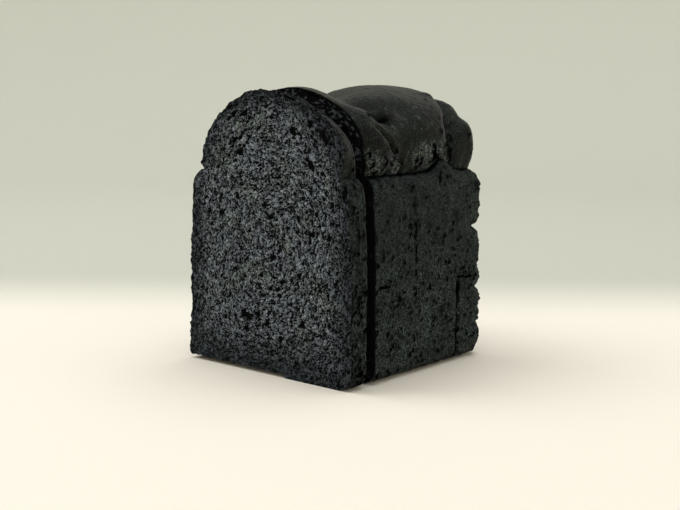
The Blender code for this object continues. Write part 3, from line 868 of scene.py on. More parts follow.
@dataclass
class Bread:
    """A closed piece of bread: rings of points through its depth and a filled face at each end.

    Each point carries four marks for the finishes: painted shade where it lies down in a cell, pit or
    crack, rind and shade near the crust, which is denser crumb with shade painted on it, dome on the
    smooth open crust, and torn on torn crumb.
    """

    form: LoafForm
    name: str
    node: str
    slot: str
    columns: int
    rows: int
    wall_rows: int
    depths: np.ndarray
    front_ratio: int
    back_ratio: int
    points: list[np.ndarray] = field(default_factory=list)
    marks: list[np.ndarray] = field(default_factory=list)
    faces: list[tuple[int, ...]] = field(default_factory=list)
    skins: list[int] = field(default_factory=list)

    def section(self, depth: float) -> tuple[np.ndarray, np.ndarray, np.ndarray, np.ndarray]:
        """A cross-section with its relief.

        Args:
            depth: The section's depth.

        Returns:
            The (x, z) points of base, crown, left flank and right flank.
        """
        form = self.form
        across = np.linspace(0.0, 1.0, self.columns + 1)
        wall_rows = np.linspace(0.0, 1.0, self.wall_rows + 1)
        dome_rows = np.linspace(0.0, 1.0, self.rows - self.wall_rows + 1)
        flanks, crowns = {}, {}
        for side in Side:
            low_dome, crowns[side] = form.dome_curves(side, depth)
            wall = self.in_relief(resample(form.wall_curve(side, depth), wall_rows), depth, form.wall_relief)
            dome = self.in_relief(resample(low_dome, dome_rows), depth, form.dome_relief)
            flanks[side] = np.concatenate((wall, dome[1:]))
        base = self.in_relief(resample(form.base_curve(depth), across), depth, None)
        arch = np.concatenate((crowns[Side.LEFT], crowns[Side.RIGHT][-2::-1]))
        crown = self.in_relief(resample(arch, across), depth, form.dome_relief)
        left, right = flanks[Side.LEFT], flanks[Side.RIGHT]
        base[0], base[-1] = left[0], right[0]
        crown[0], crown[-1] = left[-1], right[-1]
        return base, crown, left, right

    def in_relief(self, points: np.ndarray, depth: float, relief: Callable | None) -> np.ndarray:
        """Section points pushed out by a relief and drawn in at the rounded end.

        Args:
            points: The (x, z) points.
            depth: Their depth.
            relief: A method of the form that gives the distance outward, or None for none.

        Returns:
            The moved points.
        """
        x, z = points[:, 0], points[:, 1]
        nx, nz = outward(x, z)
        out = -self.form.end_inset(depth, z)
        if relief is not None:
            out = out + relief(x, depth, z)
        return np.stack((x + nx * out, z + nz * out), axis=1)

    def ring_offset(self, share: float, x: np.ndarray, z: np.ndarray) -> np.ndarray:
        """How far a ring's points lie from the ring's own depth, from front 0 to back 1."""
        return (1.0 - share) * self.front_face(x, z) + share * self.back_face(x, z)

    def front_face(self, x: np.ndarray, z: np.ndarray) -> np.ndarray:
        """The front face's offset in depth."""
        return np.zeros_like(x)

    def back_face(self, x: np.ndarray, z: np.ndarray) -> np.ndarray:
        """The back face's offset in depth."""
        return np.zeros_like(x)

    def side_detail(self, x: np.ndarray, depth: np.ndarray, z: np.ndarray) -> tuple[np.ndarray, np.ndarray]:
        """Fine relief of the sides.

        Args:
            x: Places across the loaf.
            depth: Depths.
            z: Heights.

        Returns:
            The distance outward, and the marks for the finish: painted shade, rind and shade, dome and torn.
        """
        raise NotImplementedError

    def face_detail(self, x: np.ndarray, z: np.ndarray, front: bool) -> tuple[np.ndarray, np.ndarray]:
        """Fine relief of an end face.

        Args:
            x: Places across the loaf.
            z: Heights.
            front: Whether it is the front face.

        Returns:
            The distance into the bread, and the marks for the finish.
        """
        raise NotImplementedError

    def ragged(self, points: np.ndarray) -> np.ndarray:
        """The piece's points, moved where its edges are broken or torn."""
        return points

    def lay_sides(self) -> list[tuple[np.ndarray, ...]]:
        """Lay the rings of points and the faces between them.

        Returns:
            The sides of the first and the last section, for the end faces.
        """
        sections = [self.section(depth) for depth in self.depths]
        x, z = (np.array([ring_of(*section)[:, axis] for section in sections]) for axis in (0, 1))
        shares = np.linspace(0.0, 1.0, len(self.depths))
        depth = np.array([d + self.ring_offset(share, x[i], z[i])
                          for i, (d, share) in enumerate(zip(self.depths, shares))])
        out, marks = self.side_detail(x, depth, z)
        normal = ring_normals(x, depth, z)
        x, depth, z = x + normal[0] * out, depth + normal[1] * out, z + normal[2] * out
        self.points.append(np.stack((x, depth, z.clip(0.0)), axis=-1).reshape(-1, 3))
        self.marks.append(marks.reshape(-1, marks.shape[-1]))
        around = x.shape[1]
        for station in range(len(self.depths) - 1):
            near, far = station * around, (station + 1) * around
            for i in range(around):
                j = (i + 1) % around
                self.faces.append((near + i, far + i, far + j, near + j))
        self.skins += [Skin.CRUST.value] * (len(self.faces) - len(self.skins))
        return [sections[0], sections[-1]]

    def lay_end(self, section: tuple[np.ndarray, ...], front: bool, skin: Skin) -> None:
        """Fill an end face: its rim is the ring itself, and its inner points are new.

        Args:
            section: The four sides of the end's section.
            front: Whether it is the front end.
            skin: What the face is.
        """
        ratio = self.front_ratio if front else self.back_ratio
        columns, rows = self.columns // ratio, self.rows // ratio
        grid = filled(*(side[::ratio] for side in section))
        x, z = grid[..., 0], grid[..., 1]
        plane = self.depths[0] + self.front_face(x, z) if front else self.depths[-1] + self.back_face(x, z)
        carved, marks = self.face_detail(x, z, front)
        depth = plane + (carved if front else -carved)
        around = 2 * (self.columns + self.rows)
        first_ring = 0 if front else (len(self.depths) - 1) * around
        index = np.zeros((columns + 1, rows + 1), np.int64)
        inner = np.s_[1:columns, 1:rows]
        start = sum(len(points) for points in self.points)
        index[inner] = start + np.arange((columns - 1) * (rows - 1)).reshape(columns - 1, rows - 1)
        self.points.append(np.stack((x, depth, z), axis=-1)[inner].reshape(-1, 3))
        self.marks.append(marks[inner].reshape(-1, marks.shape[-1]))
        c, r = self.columns, self.rows
        index[:, 0] = first_ring + np.arange(columns + 1) * ratio
        index[-1, :] = first_ring + c + np.arange(rows + 1) * ratio
        index[:, -1] = first_ring + 2 * c + r - np.arange(columns + 1) * ratio
        index[0, 1:] = first_ring + (2 * (c + r) - np.arange(1, rows + 1) * ratio)
        for i in range(columns):
            for j in range(rows):
                corners = [index[i, j], index[i + 1, j], index[i + 1, j + 1], index[i, j + 1]]
                if ratio > 1 and (i in (0, columns - 1) or j in (0, rows - 1)):
                    corners = with_rim(corners, first_ring, around, ratio)
                face = tuple(int(k) for k in corners)
                self.faces.append(face if front else face[::-1])
        self.skins += [skin.value] * (len(self.faces) - len(self.skins))

    def build(self, finishes: dict[Skin, bpy.types.Material], back: Skin) -> bpy.types.Object:
        """Build the piece, dress it and put it on the part's body.

        Args:
            finishes: The material of each skin.
            back: What the back face is.

        Returns:
            The piece.
        """
        first, last = self.lay_sides()
        self.lay_end(first, True, Skin.CRUMB)
        self.lay_end(last, False, back)
        points = self.ragged(np.concatenate(self.points))
        marks = np.concatenate(self.marks)
        mesh = bpy.data.meshes.new(self.name)
        placed = metres(points[:, 0], points[:, 1], points[:, 2], self.form)
        mesh.from_pydata(placed.tolist(), [], self.faces)
        mesh.polygons.foreach_set("material_index", self.skins)
        for column, mark in enumerate(("painted_shade", "rind_and_shade", "dome", "torn")):
            layer = mesh.attributes.new(mark, "FLOAT", "POINT")
            layer.data.foreach_set("value", marks[:, column].astype(np.float32))
        mesh.shade_smooth()
        for skin in Skin:
            mesh.materials.append(finishes[skin])
        piece = bpy.data.objects.new(self.name, mesh)
        bpy.context.scene.collection.objects.link(piece)
        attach(piece, BODY)
        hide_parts(self.node)
        LOG.info("%s: %d points, %d faces", self.name, len(points), len(self.faces))
        return piece


def ring_of(base: np.ndarray, crown: np.ndarray, left: np.ndarray, right: np.ndarray) -> np.ndarray:
    """The sides joined into one ring, counter-clockwise seen from the front."""
    return np.concatenate((base[:-1], right[:-1], crown[:0:-1], left[:0:-1]))


def ring_normals(x: np.ndarray, depth: np.ndarray, z: np.ndarray) -> np.ndarray:
    """Outward directions of the sides.

    Args:
        x: The rings' points, one row for each ring.
        depth: Their depths.
        z: Their heights.

    Returns:
        The directions' x, depth and z, each in the rings' own layout.
    """
    points = np.stack((x, depth, z))
    around = np.roll(points, -1, axis=2) - np.roll(points, 1, axis=2)
    along = np.gradient(points, axis=1)
    normal = np.cross(around, along, axis=0)
    return normal / (np.linalg.norm(normal, axis=0) + 1e-12)


def filled(base: np.ndarray, crown: np.ndarray, left: np.ndarray, right: np.ndarray) -> np.ndarray:
    """A grid of points that fills a section between its four sides.

    Args:
        base: The base's points.
        crown: The crown's points.
        left: The left flank's points.
        right: The right flank's points.

    Returns:
        The (x, z) points, by column and row.
    """
    u = np.linspace(0.0, 1.0, len(base))[:, None, None]
    v = np.linspace(0.0, 1.0, len(left))[None, :, None]
    ruled_up = (1.0 - v) * base[:, None] + v * crown[:, None]
    ruled_over = (1.0 - u) * left[None] + u * right[None]
    corners = ((1.0 - u) * (1.0 - v) * base[0] + u * (1.0 - v) * base[-1]
               + (1.0 - u) * v * crown[0] + u * v * crown[-1])
    return ruled_up + ruled_over - corners


def with_rim(corners: list[int], first: int, around: int, ratio: int) -> list[int]:
    """Add the ring's in-between points to a face at the rim of a coarser grid.

    Args:
        corners: The face's corners, counter-clockwise seen from the front.
        first: The ring's first point.
        around: How many points the ring has.
        ratio: How many steps of the ring one step of the grid spans.

    Returns:
        The corners with the points between them.
    """
    full = []
    for here, there in zip(corners, corners[1:] + corners[:1]):
        full.append(here)
        on_ring = first <= here < first + around and first <= there < first + around
        if on_ring and (there - here) % around == ratio:
            full += [first + (here - first + k) % around for k in range(1, ratio)]
    return full


@dataclass
class FrontSlice(Bread):
    """The first slice, its crumb towards the viewer."""

    crumb: CutCrumb = CutCrumb(seed=41)
    grain: CrustGrain = CrustGrain()
    # The bottom edge is broken off the front, from the left side to the chip's end.
    chip_end: float = 13.5
    chip_height: float = 2.3
    chip_depth: float = 9.0
    chip_bite: float = 2.5
    chip_raggedness: float = 0.7
    chip_top: float = 14.0
    # Scallops along the cut edges of the sides, and the uneven edge of the crown.
    scallop: float = 0.8
    scallop_size: float = 7.5
    scallop_shares: tuple[float, float] = (0.7, 0.95)
    edge_reach: float = 5.0
    crown_full: float = 150.0
    crown_wave: Ripple = Ripple(0.9, 9.0, 37)
    crown_bite: Ripple = Ripple(0.6, 3.0, 38)
    # Crumb that stands ragged along the cut, more so at the crown, and on the torn back.
    edge_rag: float = 0.35
    crown_rag: float = 0.5
    rag_reach: float = 2.5
    coarse_rag: Ripple = Ripple(1.0, 3.2, 32)
    fine_rag: Ripple = Ripple(0.6, 1.6, 33)
    back_rag: Ripple = Ripple(0.9, 4.0, 31)
    # The slice's walls are a little smoother and darker than the loaf's.
    wall_smoothness: float = 0.25
    wall_shade: float = 0.35
    # The small flap that sticks out at the left shoulder.
    flap_height: float = 114.4
    flap_half_height: float = 1.3
    flap_start: float = 40.0
    flap_end: float = 48.0
    flap_reach: float = 2.0

    def chipped(self, x: np.ndarray, depth: np.ndarray, z: np.ndarray) -> np.ndarray:
        """Break the bottom edge off the front, from the left side to the chip's end.

        Args:
            x: Places across the loaf.
            depth: Depths.
            z: Heights.

        Returns:
            How far each point is lifted.
        """
        broken = wobble(x, np.zeros_like(x), np.zeros_like(x), self.chip_bite, 34)
        chip = 1.0 - smoothstep(self.chip_end - 1.0, self.chip_end + 1.0, x + 0.8 * broken)
        chip = chip * (1.0 - smoothstep(0.2 * self.chip_depth, self.chip_depth, depth))
        low = 1.0 - smoothstep(0.0, self.chip_top, z)
        return (self.chip_height + self.chip_raggedness * broken) * chip * low

    def scalloped(self, x: np.ndarray, depth: np.ndarray, z: np.ndarray) -> np.ndarray:
        """Scallop the cut edges of the sides and pull out the flap on the left.

        Args:
            x: Places across the loaf.
            depth: Depths.
            z: Heights.

        Returns:
            How far each point is moved away from the middle plane.
        """
        outer = smoothstep(*self.scallop_shares, np.abs(x) / self.form.right_half_width)
        wave = wobble(np.sign(x), 0.3 * depth, z, self.scallop_size, 35)
        wave = wave + 0.6 * wobble(np.sign(x), 0.3 * depth, z, 0.4 * self.scallop_size, 36)
        aside = self.scallop * wave * outer * np.exp(-depth / self.edge_reach)
        flap = bell(z, self.flap_height, self.flap_half_height)
        flap = flap * smoothstep(self.flap_start, self.flap_end, -x)
        return aside + self.flap_reach * flap * np.exp(-depth / self.rag_reach)

    def ragged(self, points: np.ndarray) -> np.ndarray:
        """Chip the slice's bottom edge, scallop its sides and make its crown uneven.

        Args:
            points: The piece's points as x, depth and z.

        Returns:
            The moved points.
        """
        x, depth, z = points.T
        above = smoothstep(self.form.right_spring, self.crown_full, z) * np.exp(-depth / self.edge_reach)
        rise = self.crown_wave.at(x, 0.3 * depth, z) + self.crown_bite.at(x, 0.3 * depth, z)
        lift = self.chipped(x, depth, z) + rise * above
        return np.stack((x + np.sign(x) * self.scalloped(x, depth, z), depth, z + lift), axis=-1)

    def front_face(self, x: np.ndarray, z: np.ndarray) -> np.ndarray:
        """The knife's cut."""
        return self.form.cut_face(x, z)

    def back_face(self, x: np.ndarray, z: np.ndarray) -> np.ndarray:
        """The torn back, ragged where it tore."""
        torn = smoothstep(self.form.tear_start, self.form.tear_end, z)
        return self.form.slice_back(z) + torn * self.back_rag.at(x, np.zeros_like(x), z)

    def side_detail(self, x: np.ndarray, depth: np.ndarray, z: np.ndarray) -> tuple[np.ndarray, np.ndarray]:
        """Fine relief of the slice's crust, ragged along the cut edges.

        Args:
            x: Places across the loaf.
            depth: Depths.
            z: Heights.

        Returns:
            The distance outward, and the marks for the finish.
        """
        dome = smoothstep(self.form.rim, self.form.rim + 4.0, z)
        out = self.grain.relief(x, depth, z, dome)
        front = np.exp(-depth / self.rag_reach)
        crown = smoothstep(self.form.rim - 0.5, self.form.right_spring + 1.0, z)
        rag = self.coarse_rag.at(x, depth / 3.0, z) + self.fine_rag.at(x, depth / 3.0, z)
        out = out + front * rag * (self.edge_rag + self.crown_rag * crown)
        # Painted shade where the relief dips, over an even base of painted shade that wall_shade gives the
        # slice's walls.
        painted_shade = np.clip(self.wall_shade - out / FULL_SHADE_DEPTH, 0.0, 1.0)
        out = out * smoothstep(0.0, 3.0, z)
        smooth = np.maximum(dome, self.wall_smoothness)
        return out, np.stack((painted_shade, np.ones_like(x), smooth, np.zeros_like(x)), axis=-1)

    def face_detail(self, x: np.ndarray, z: np.ndarray, front: bool) -> tuple[np.ndarray, np.ndarray]:
        """The open crumb, front and back.

        Args:
            x: Places across the loaf.
            z: Heights.
            front: Not used; both faces are open crumb.

        Returns:
            The distance into the bread, and the marks for the finish.
        """
        carved, painted_shade, rind_and_shade = self.crumb.carve(x, z)
        none = np.zeros_like(x)
        return carved, np.stack((painted_shade, rind_and_shade, none, none), axis=-1)


@dataclass
class Loaf(Bread):
    """The rest of the loaf: cut face, tin walls, dome and rear end."""

    crumb: CutCrumb = CutCrumb(seed=43)
    grain: CrustGrain = CrustGrain()
    # Height above the slot over which rough wall crust turns to the dome's smooth one.
    slot_rise: float = 4.0
    # Torn crumb: scuffs round the bursts, and slanting shreds.
    scuffs: Ripple = Ripple(1.1, 3.0, 41)
    scuff_floor: float = 0.25
    shred_size: float = 2.6
    shred_height: float = 1.7
    shred_slant: float = 0.35
    shred_bits: Ripple = Ripple(0.5, 1.7, 43)
    # The cut face lies in the slice's shade, deepest below the rim.
    cut_shade: float = 0.32
    cut_shade_below_rim: float = 0.3
    cut_rind_and_shade: float = 0.45
    # Painted shade: dark lines at the front edge of the cut and in the slot.
    cut_edge_shade: float = 1.4
    slot_shade: float = 0.9
    slot_shade_width: float = 0.9
    slot_waver: Ripple = Ripple(0.5, 4.0, 44)

    def back_face(self, x: np.ndarray, z: np.ndarray) -> np.ndarray:
        """The rear end's form."""
        return self.form.loaf_end(x, z)

    def torn_share(self, x: np.ndarray, depth: np.ndarray, z: np.ndarray) -> np.ndarray:
        """How torn the flank is: wholly where dough burst out above the slot, lightly where scuffed.

        Args:
            x: Places across the loaf.
            depth: Depths.
            z: Heights.

        Returns:
            0 on whole crust, up to 1 on torn crumb.
        """
        torn = np.zeros_like(x)
        for patch in self.form.torn_patches:
            torn = np.maximum(torn, patch.dome(depth, z))
        scuffed = self.scuffs.at(x, depth - 0.5 * z, 0.5 * z) - self.scuff_floor
        torn = np.clip(1.5 * torn + scuffed, 0.0, 1.0)
        above_slot = smoothstep(0.0, 2.0, z - self.form.rim_height(depth))
        return torn * above_slot * (np.abs(x) > self.form.flank_x)

    def shreds(self, x: np.ndarray, depth: np.ndarray, z: np.ndarray) -> np.ndarray:
        """Torn crumb's slanting shreds.

        Args:
            x: Places across the loaf.
            depth: Depths.
            z: Heights.

        Returns:
            Their distance outward.
        """
        along = depth - self.shred_slant * z
        across = self.shred_slant * depth + z
        ridges = np.abs(wobble(x, along, 0.3 * across, self.shred_size, 42))
        return self.shred_height * (0.55 - 2.4 * ridges + self.shred_bits.at(x, depth, z))

    def painted_shade_lines(self, x: np.ndarray, depth: np.ndarray, z: np.ndarray) -> np.ndarray:
        """Shade that the relief is too coarse for: in the slot, the cut's front edge and the dimple.

        Args:
            x: Places across the loaf.
            depth: Depths.
            z: Heights.

        Returns:
            How much painted shade each point gets, from 0 to 1.
        """
        form = self.form
        over_rim = z - form.rim_height(depth)
        line = bell(over_rim - self.slot_waver.at(x, depth, z), 0.0, self.slot_shade_width)
        slot = self.slot_shade * line * (np.abs(x) > form.flank_x)
        edge = bell(depth - form.loaf_start, 0.0, self.cut_edge_shade)
        dimple_depth, dimple_x, dimple_radius = form.dimple_shade
        dimple_shade = bell(np.hypot(0.55 * (depth - dimple_depth), x - dimple_x), 0.0, dimple_radius)
        return np.maximum(np.maximum(slot, edge), dimple_shade * smoothstep(0.0, self.slot_rise, over_rim))

    def side_detail(self, x: np.ndarray, depth: np.ndarray, z: np.ndarray) -> tuple[np.ndarray, np.ndarray]:
        """Fine relief of walls and dome, with cracks, and torn crumb where the dough burst out.

        Args:
            x: Places across the loaf.
            depth: Depths.
            z: Heights.

        Returns:
            The distance outward, and the marks for the finish.
        """
        dome = smoothstep(0.0, self.slot_rise, z - self.form.rim_height(depth))
        torn = self.torn_share(x, depth, z)
        out = self.grain.relief(x, depth, z, dome * (1.0 - torn))
        out = out + torn ** 2 * self.shreds(x, depth, z)
        cut = self.form.cracks(x, depth, z)
        # Painted shade where the relief dips and in the cracks, with the painted shade lines on top.
        painted_shade = np.clip(np.maximum(-out / FULL_SHADE_DEPTH, cut), 0.0, 1.0)
        painted_shade = np.maximum(painted_shade, self.painted_shade_lines(x, depth, z))
        out = (out - cut) * smoothstep(0.0, 3.0, z)
        return out, np.stack((painted_shade, np.ones_like(x), dome * (1.0 - torn), torn), axis=-1)

    def face_detail(self, x: np.ndarray, z: np.ndarray, front: bool) -> tuple[np.ndarray, np.ndarray]:
        """Open crumb in front, crust behind.

        Args:
            x: Places across the loaf.
            z: Heights.
            front: Whether it is the front face.

        Returns:
            The distance into the bread, and the marks for the finish.
        """
        none = np.zeros_like(x)
        if front:
            carved, painted_shade, rind_and_shade = self.crumb.carve(x, z)
            below_rim = 1.0 - smoothstep(self.form.rim, self.form.rim + 15.0, z)
            shade = np.clip(painted_shade + self.cut_shade + self.cut_shade_below_rim * below_rim, 0.0, 1.0)
            return carved, np.stack((shade, self.cut_rind_and_shade * rind_and_shade, none, none), axis=-1)
        dome = smoothstep(0.0, self.slot_rise, z - self.form.rim)
        out = self.grain.relief(x, np.zeros_like(x), z, dome)
        # Painted shade where the rear end's relief dips.
        painted_shade = np.clip(-out / FULL_SHADE_DEPTH, 0.0, 1.0)
        return -out, np.stack((painted_shade, none + 1.0, dome, none), axis=-1)


def linear(hex_colour: str) -> tuple[float, float, float, float]:
    """An sRGB hex colour as linear light.

    Args:
        hex_colour: Six hex digits.

    Returns:
        Linear red, green and blue, and 1 for opaque.
    """
    values = [int(hex_colour[i:i + 2], 16) / 255.0 for i in (0, 2, 4)]
    values = [v / 12.92 if v <= 0.04045 else ((v + 0.055) / 1.055) ** 2.4 for v in values]
    return (*values, 1.0)


def per_metre(size: float) -> float:
    """The scale that makes a pattern of the given size in millimetres, in object space."""
    return 1.0 / (size * MM)


def spans(before: tuple[float, float], after: tuple[float, float] = (0.0, 1.0)) -> dict[str, float]:
    """The inputs that carry one range of values over to another, which is 0 to 1 if not given."""
    return {"From Min": before[0], "From Max": before[1], "To Min": after[0], "To Max": after[1]}


def add_node(tree: bpy.types.NodeTree, kind: str, inputs: dict, **settings: object) -> bpy.types.Node:
    """Add a node with its settings and links.

    Args:
        tree: The node tree.
        kind: The node's type.
        inputs: For each input, its value or the output that feeds it.
        settings: The node's own options.

    Returns:
        The node.
    """
    made = tree.nodes.new(kind)
    for name, value in settings.items():
        setattr(made, name, value)
    for name, value in inputs.items():
        if isinstance(value, bpy.types.NodeSocket):
            tree.links.new(value, made.inputs[name])
        else:
            made.inputs[name].default_value = value
    return made


def small_pits(tree: bpy.types.NodeTree, place: bpy.types.NodeSocket, size: float,
               closed: float, rim: tuple[float, float] = (0.45, 0.15)) -> bpy.types.NodeSocket:
    """Add scattered pits that are too small for the mesh.

    Args:
        tree: The node tree.
        place: The position they are laid by.
        size: Their usual distance in millimetres.
        closed: The share of them left out.
        rim: Distances from a pit's middle, in shares of the size, at which it starts and is full.

    Returns:
        The output that is 1 inside a pit and 0 beside it.
    """
    pit = add_node(tree, "ShaderNodeTexVoronoi", {
        "Vector": place, "Scale": per_metre(size), "Randomness": 1.0})
    near = add_node(tree, "ShaderNodeMapRange", {
        "Value": pit.outputs["Distance"], **spans(rim)})
    draw = add_node(tree, "ShaderNodeSeparateColor", {"Color": pit.outputs["Color"]})
    drawn = add_node(tree, "ShaderNodeMapRange", {
        "Value": draw.outputs["Red"], **spans((closed, closed + 0.3))})
    return add_node(tree, "ShaderNodeMath", {
        0: near.outputs["Result"], 1: drawn.outputs["Result"]}, operation="MULTIPLY").outputs[0]


@dataclass(frozen=True)
class CharcoalCrumb:
    """Crumb of bread coloured with charcoal, sawn with a bread knife.

    The thin cell walls catch the light as a pale blue-grey net, painted as pale flecks, and the cells
    between them are painted black as shade.
    """

    # The colours of walls, of flecks that are painted highlights, of the painted shade in cells, of olive
    # patches and of the dense rind with its painted shade, all as sRGB.
    wall: str = "5E666F"
    fleck: str = "A0A9B4"
    painted_shade: str = "060708"
    olive: str = "5A635E"
    rind_and_shade: str = "3B4147"
    # Dry crumb is all pores: it scatters light and has next to no highlight.
    roughness: float = 0.95
    specular: float = 0.08
    # Slow drift between blue-grey and olive.
    tint_size: float = 16.0
    tint_range: tuple[float, float] = (0.45, 0.7)
    # Real cell walls are about 0.2 mm thick, under half a pixel in the render, so the flecks, small
    # holes and grain that stand for them are drawn 0.7 to 1.25 mm wide. The flecks are painted
    # highlights where the walls catch the light, and the small holes are painted shade.
    fleck_size: float = 0.9
    fleck_range: tuple[float, float] = (0.5, 0.66)
    painted_shade_range: tuple[float, float] = (0.05, 0.7)
    hole_size: float = 1.25
    holes_shut: float = 0.2
    grain_size: float = 0.7
    grain_height: float = 0.4
    grain_strength: float = 0.7

    def material(self) -> bpy.types.Material:
        """Mix the sawn crumb from its walls, flecks and hollows.

        Returns:
            The material.
        """
        # Bread crumb blackened with charcoal, sawn with a toothed knife: matt all over, with a pale torn
        # net of cell walls, their caught light painted as flecks, round cells painted black as shade.
        made = bpy.data.materials.new("charcoal_crumb_sawn")
        made.use_nodes = True
        tree = made.node_tree
        shader = tree.nodes["Principled BSDF"]
        place = add_node(tree, "ShaderNodeTexCoord", {}).outputs["Object"]
        painted_shade = add_node(tree, "ShaderNodeAttribute", {}, attribute_name="painted_shade").outputs["Fac"]
        rind_and_shade = add_node(tree, "ShaderNodeAttribute", {}, attribute_name="rind_and_shade").outputs["Fac"]
        tint = add_node(tree, "ShaderNodeTexNoise", {"Vector": place, "Scale": per_metre(self.tint_size)})
        olive = add_node(tree, "ShaderNodeMapRange", {
            "Value": tint.outputs["Fac"], **spans(self.tint_range)})
        body = add_node(tree, "ShaderNodeMix", {
            0: olive.outputs["Result"], 6: linear(self.wall), 7: linear(self.olive)}, data_type="RGBA")
        # The rind's colour: denser crumb, and painted shade towards the crust.
        body = add_node(tree, "ShaderNodeMix", {
            0: rind_and_shade, 6: body.outputs[2], 7: linear(self.rind_and_shade)}, data_type="RGBA")
        # Painted highlights: pale flecks where the thin cell walls catch the light, held back in the rind.
        fleck = add_node(tree, "ShaderNodeTexNoise", {
            "Vector": place, "Scale": per_metre(self.fleck_size), "Detail": 3.0})
        bright = add_node(tree, "ShaderNodeMapRange", {
            "Value": fleck.outputs["Fac"], **spans(self.fleck_range)})
        lit = add_node(tree, "ShaderNodeMath", {0: 1.0, 1: rind_and_shade}, operation="SUBTRACT")
        lit = add_node(tree, "ShaderNodeMath", {
            0: bright.outputs["Result"], 1: lit.outputs[0]}, operation="MULTIPLY")
        body = add_node(tree, "ShaderNodeMix", {
            0: lit.outputs[0], 6: body.outputs[2], 7: linear(self.fleck)}, data_type="RGBA")
        # Painted shade: cells, small holes and cracks mixed towards black by the painted shade mark.
        dark = add_node(tree, "ShaderNodeMapRange", {
            "Value": painted_shade, **spans(self.painted_shade_range)})
        hole = small_pits(tree, place, self.hole_size, self.holes_shut)
        dark = add_node(tree, "ShaderNodeMath", {0: dark.outputs["Result"], 1: hole}, operation="MAXIMUM")
        colour = add_node(tree, "ShaderNodeMix", {
            0: dark.outputs[0], 6: body.outputs[2], 7: linear(self.painted_shade)}, data_type="RGBA")
        grain = add_node(tree, "ShaderNodeTexNoise", {
            "Vector": place, "Scale": per_metre(self.grain_size), "Detail": 2.0})
        bump = add_node(tree, "ShaderNodeBump", {
            "Height": grain.outputs["Fac"], "Strength": self.grain_strength,
            "Distance": self.grain_height * MM})
        tree.links.new(colour.outputs[2], shader.inputs["Base Color"])
        tree.links.new(bump.outputs["Normal"], shader.inputs["Normal"])
        shader.inputs["Roughness"].default_value = self.roughness
        shader.inputs["Specular IOR Level"].default_value = self.specular
        return made


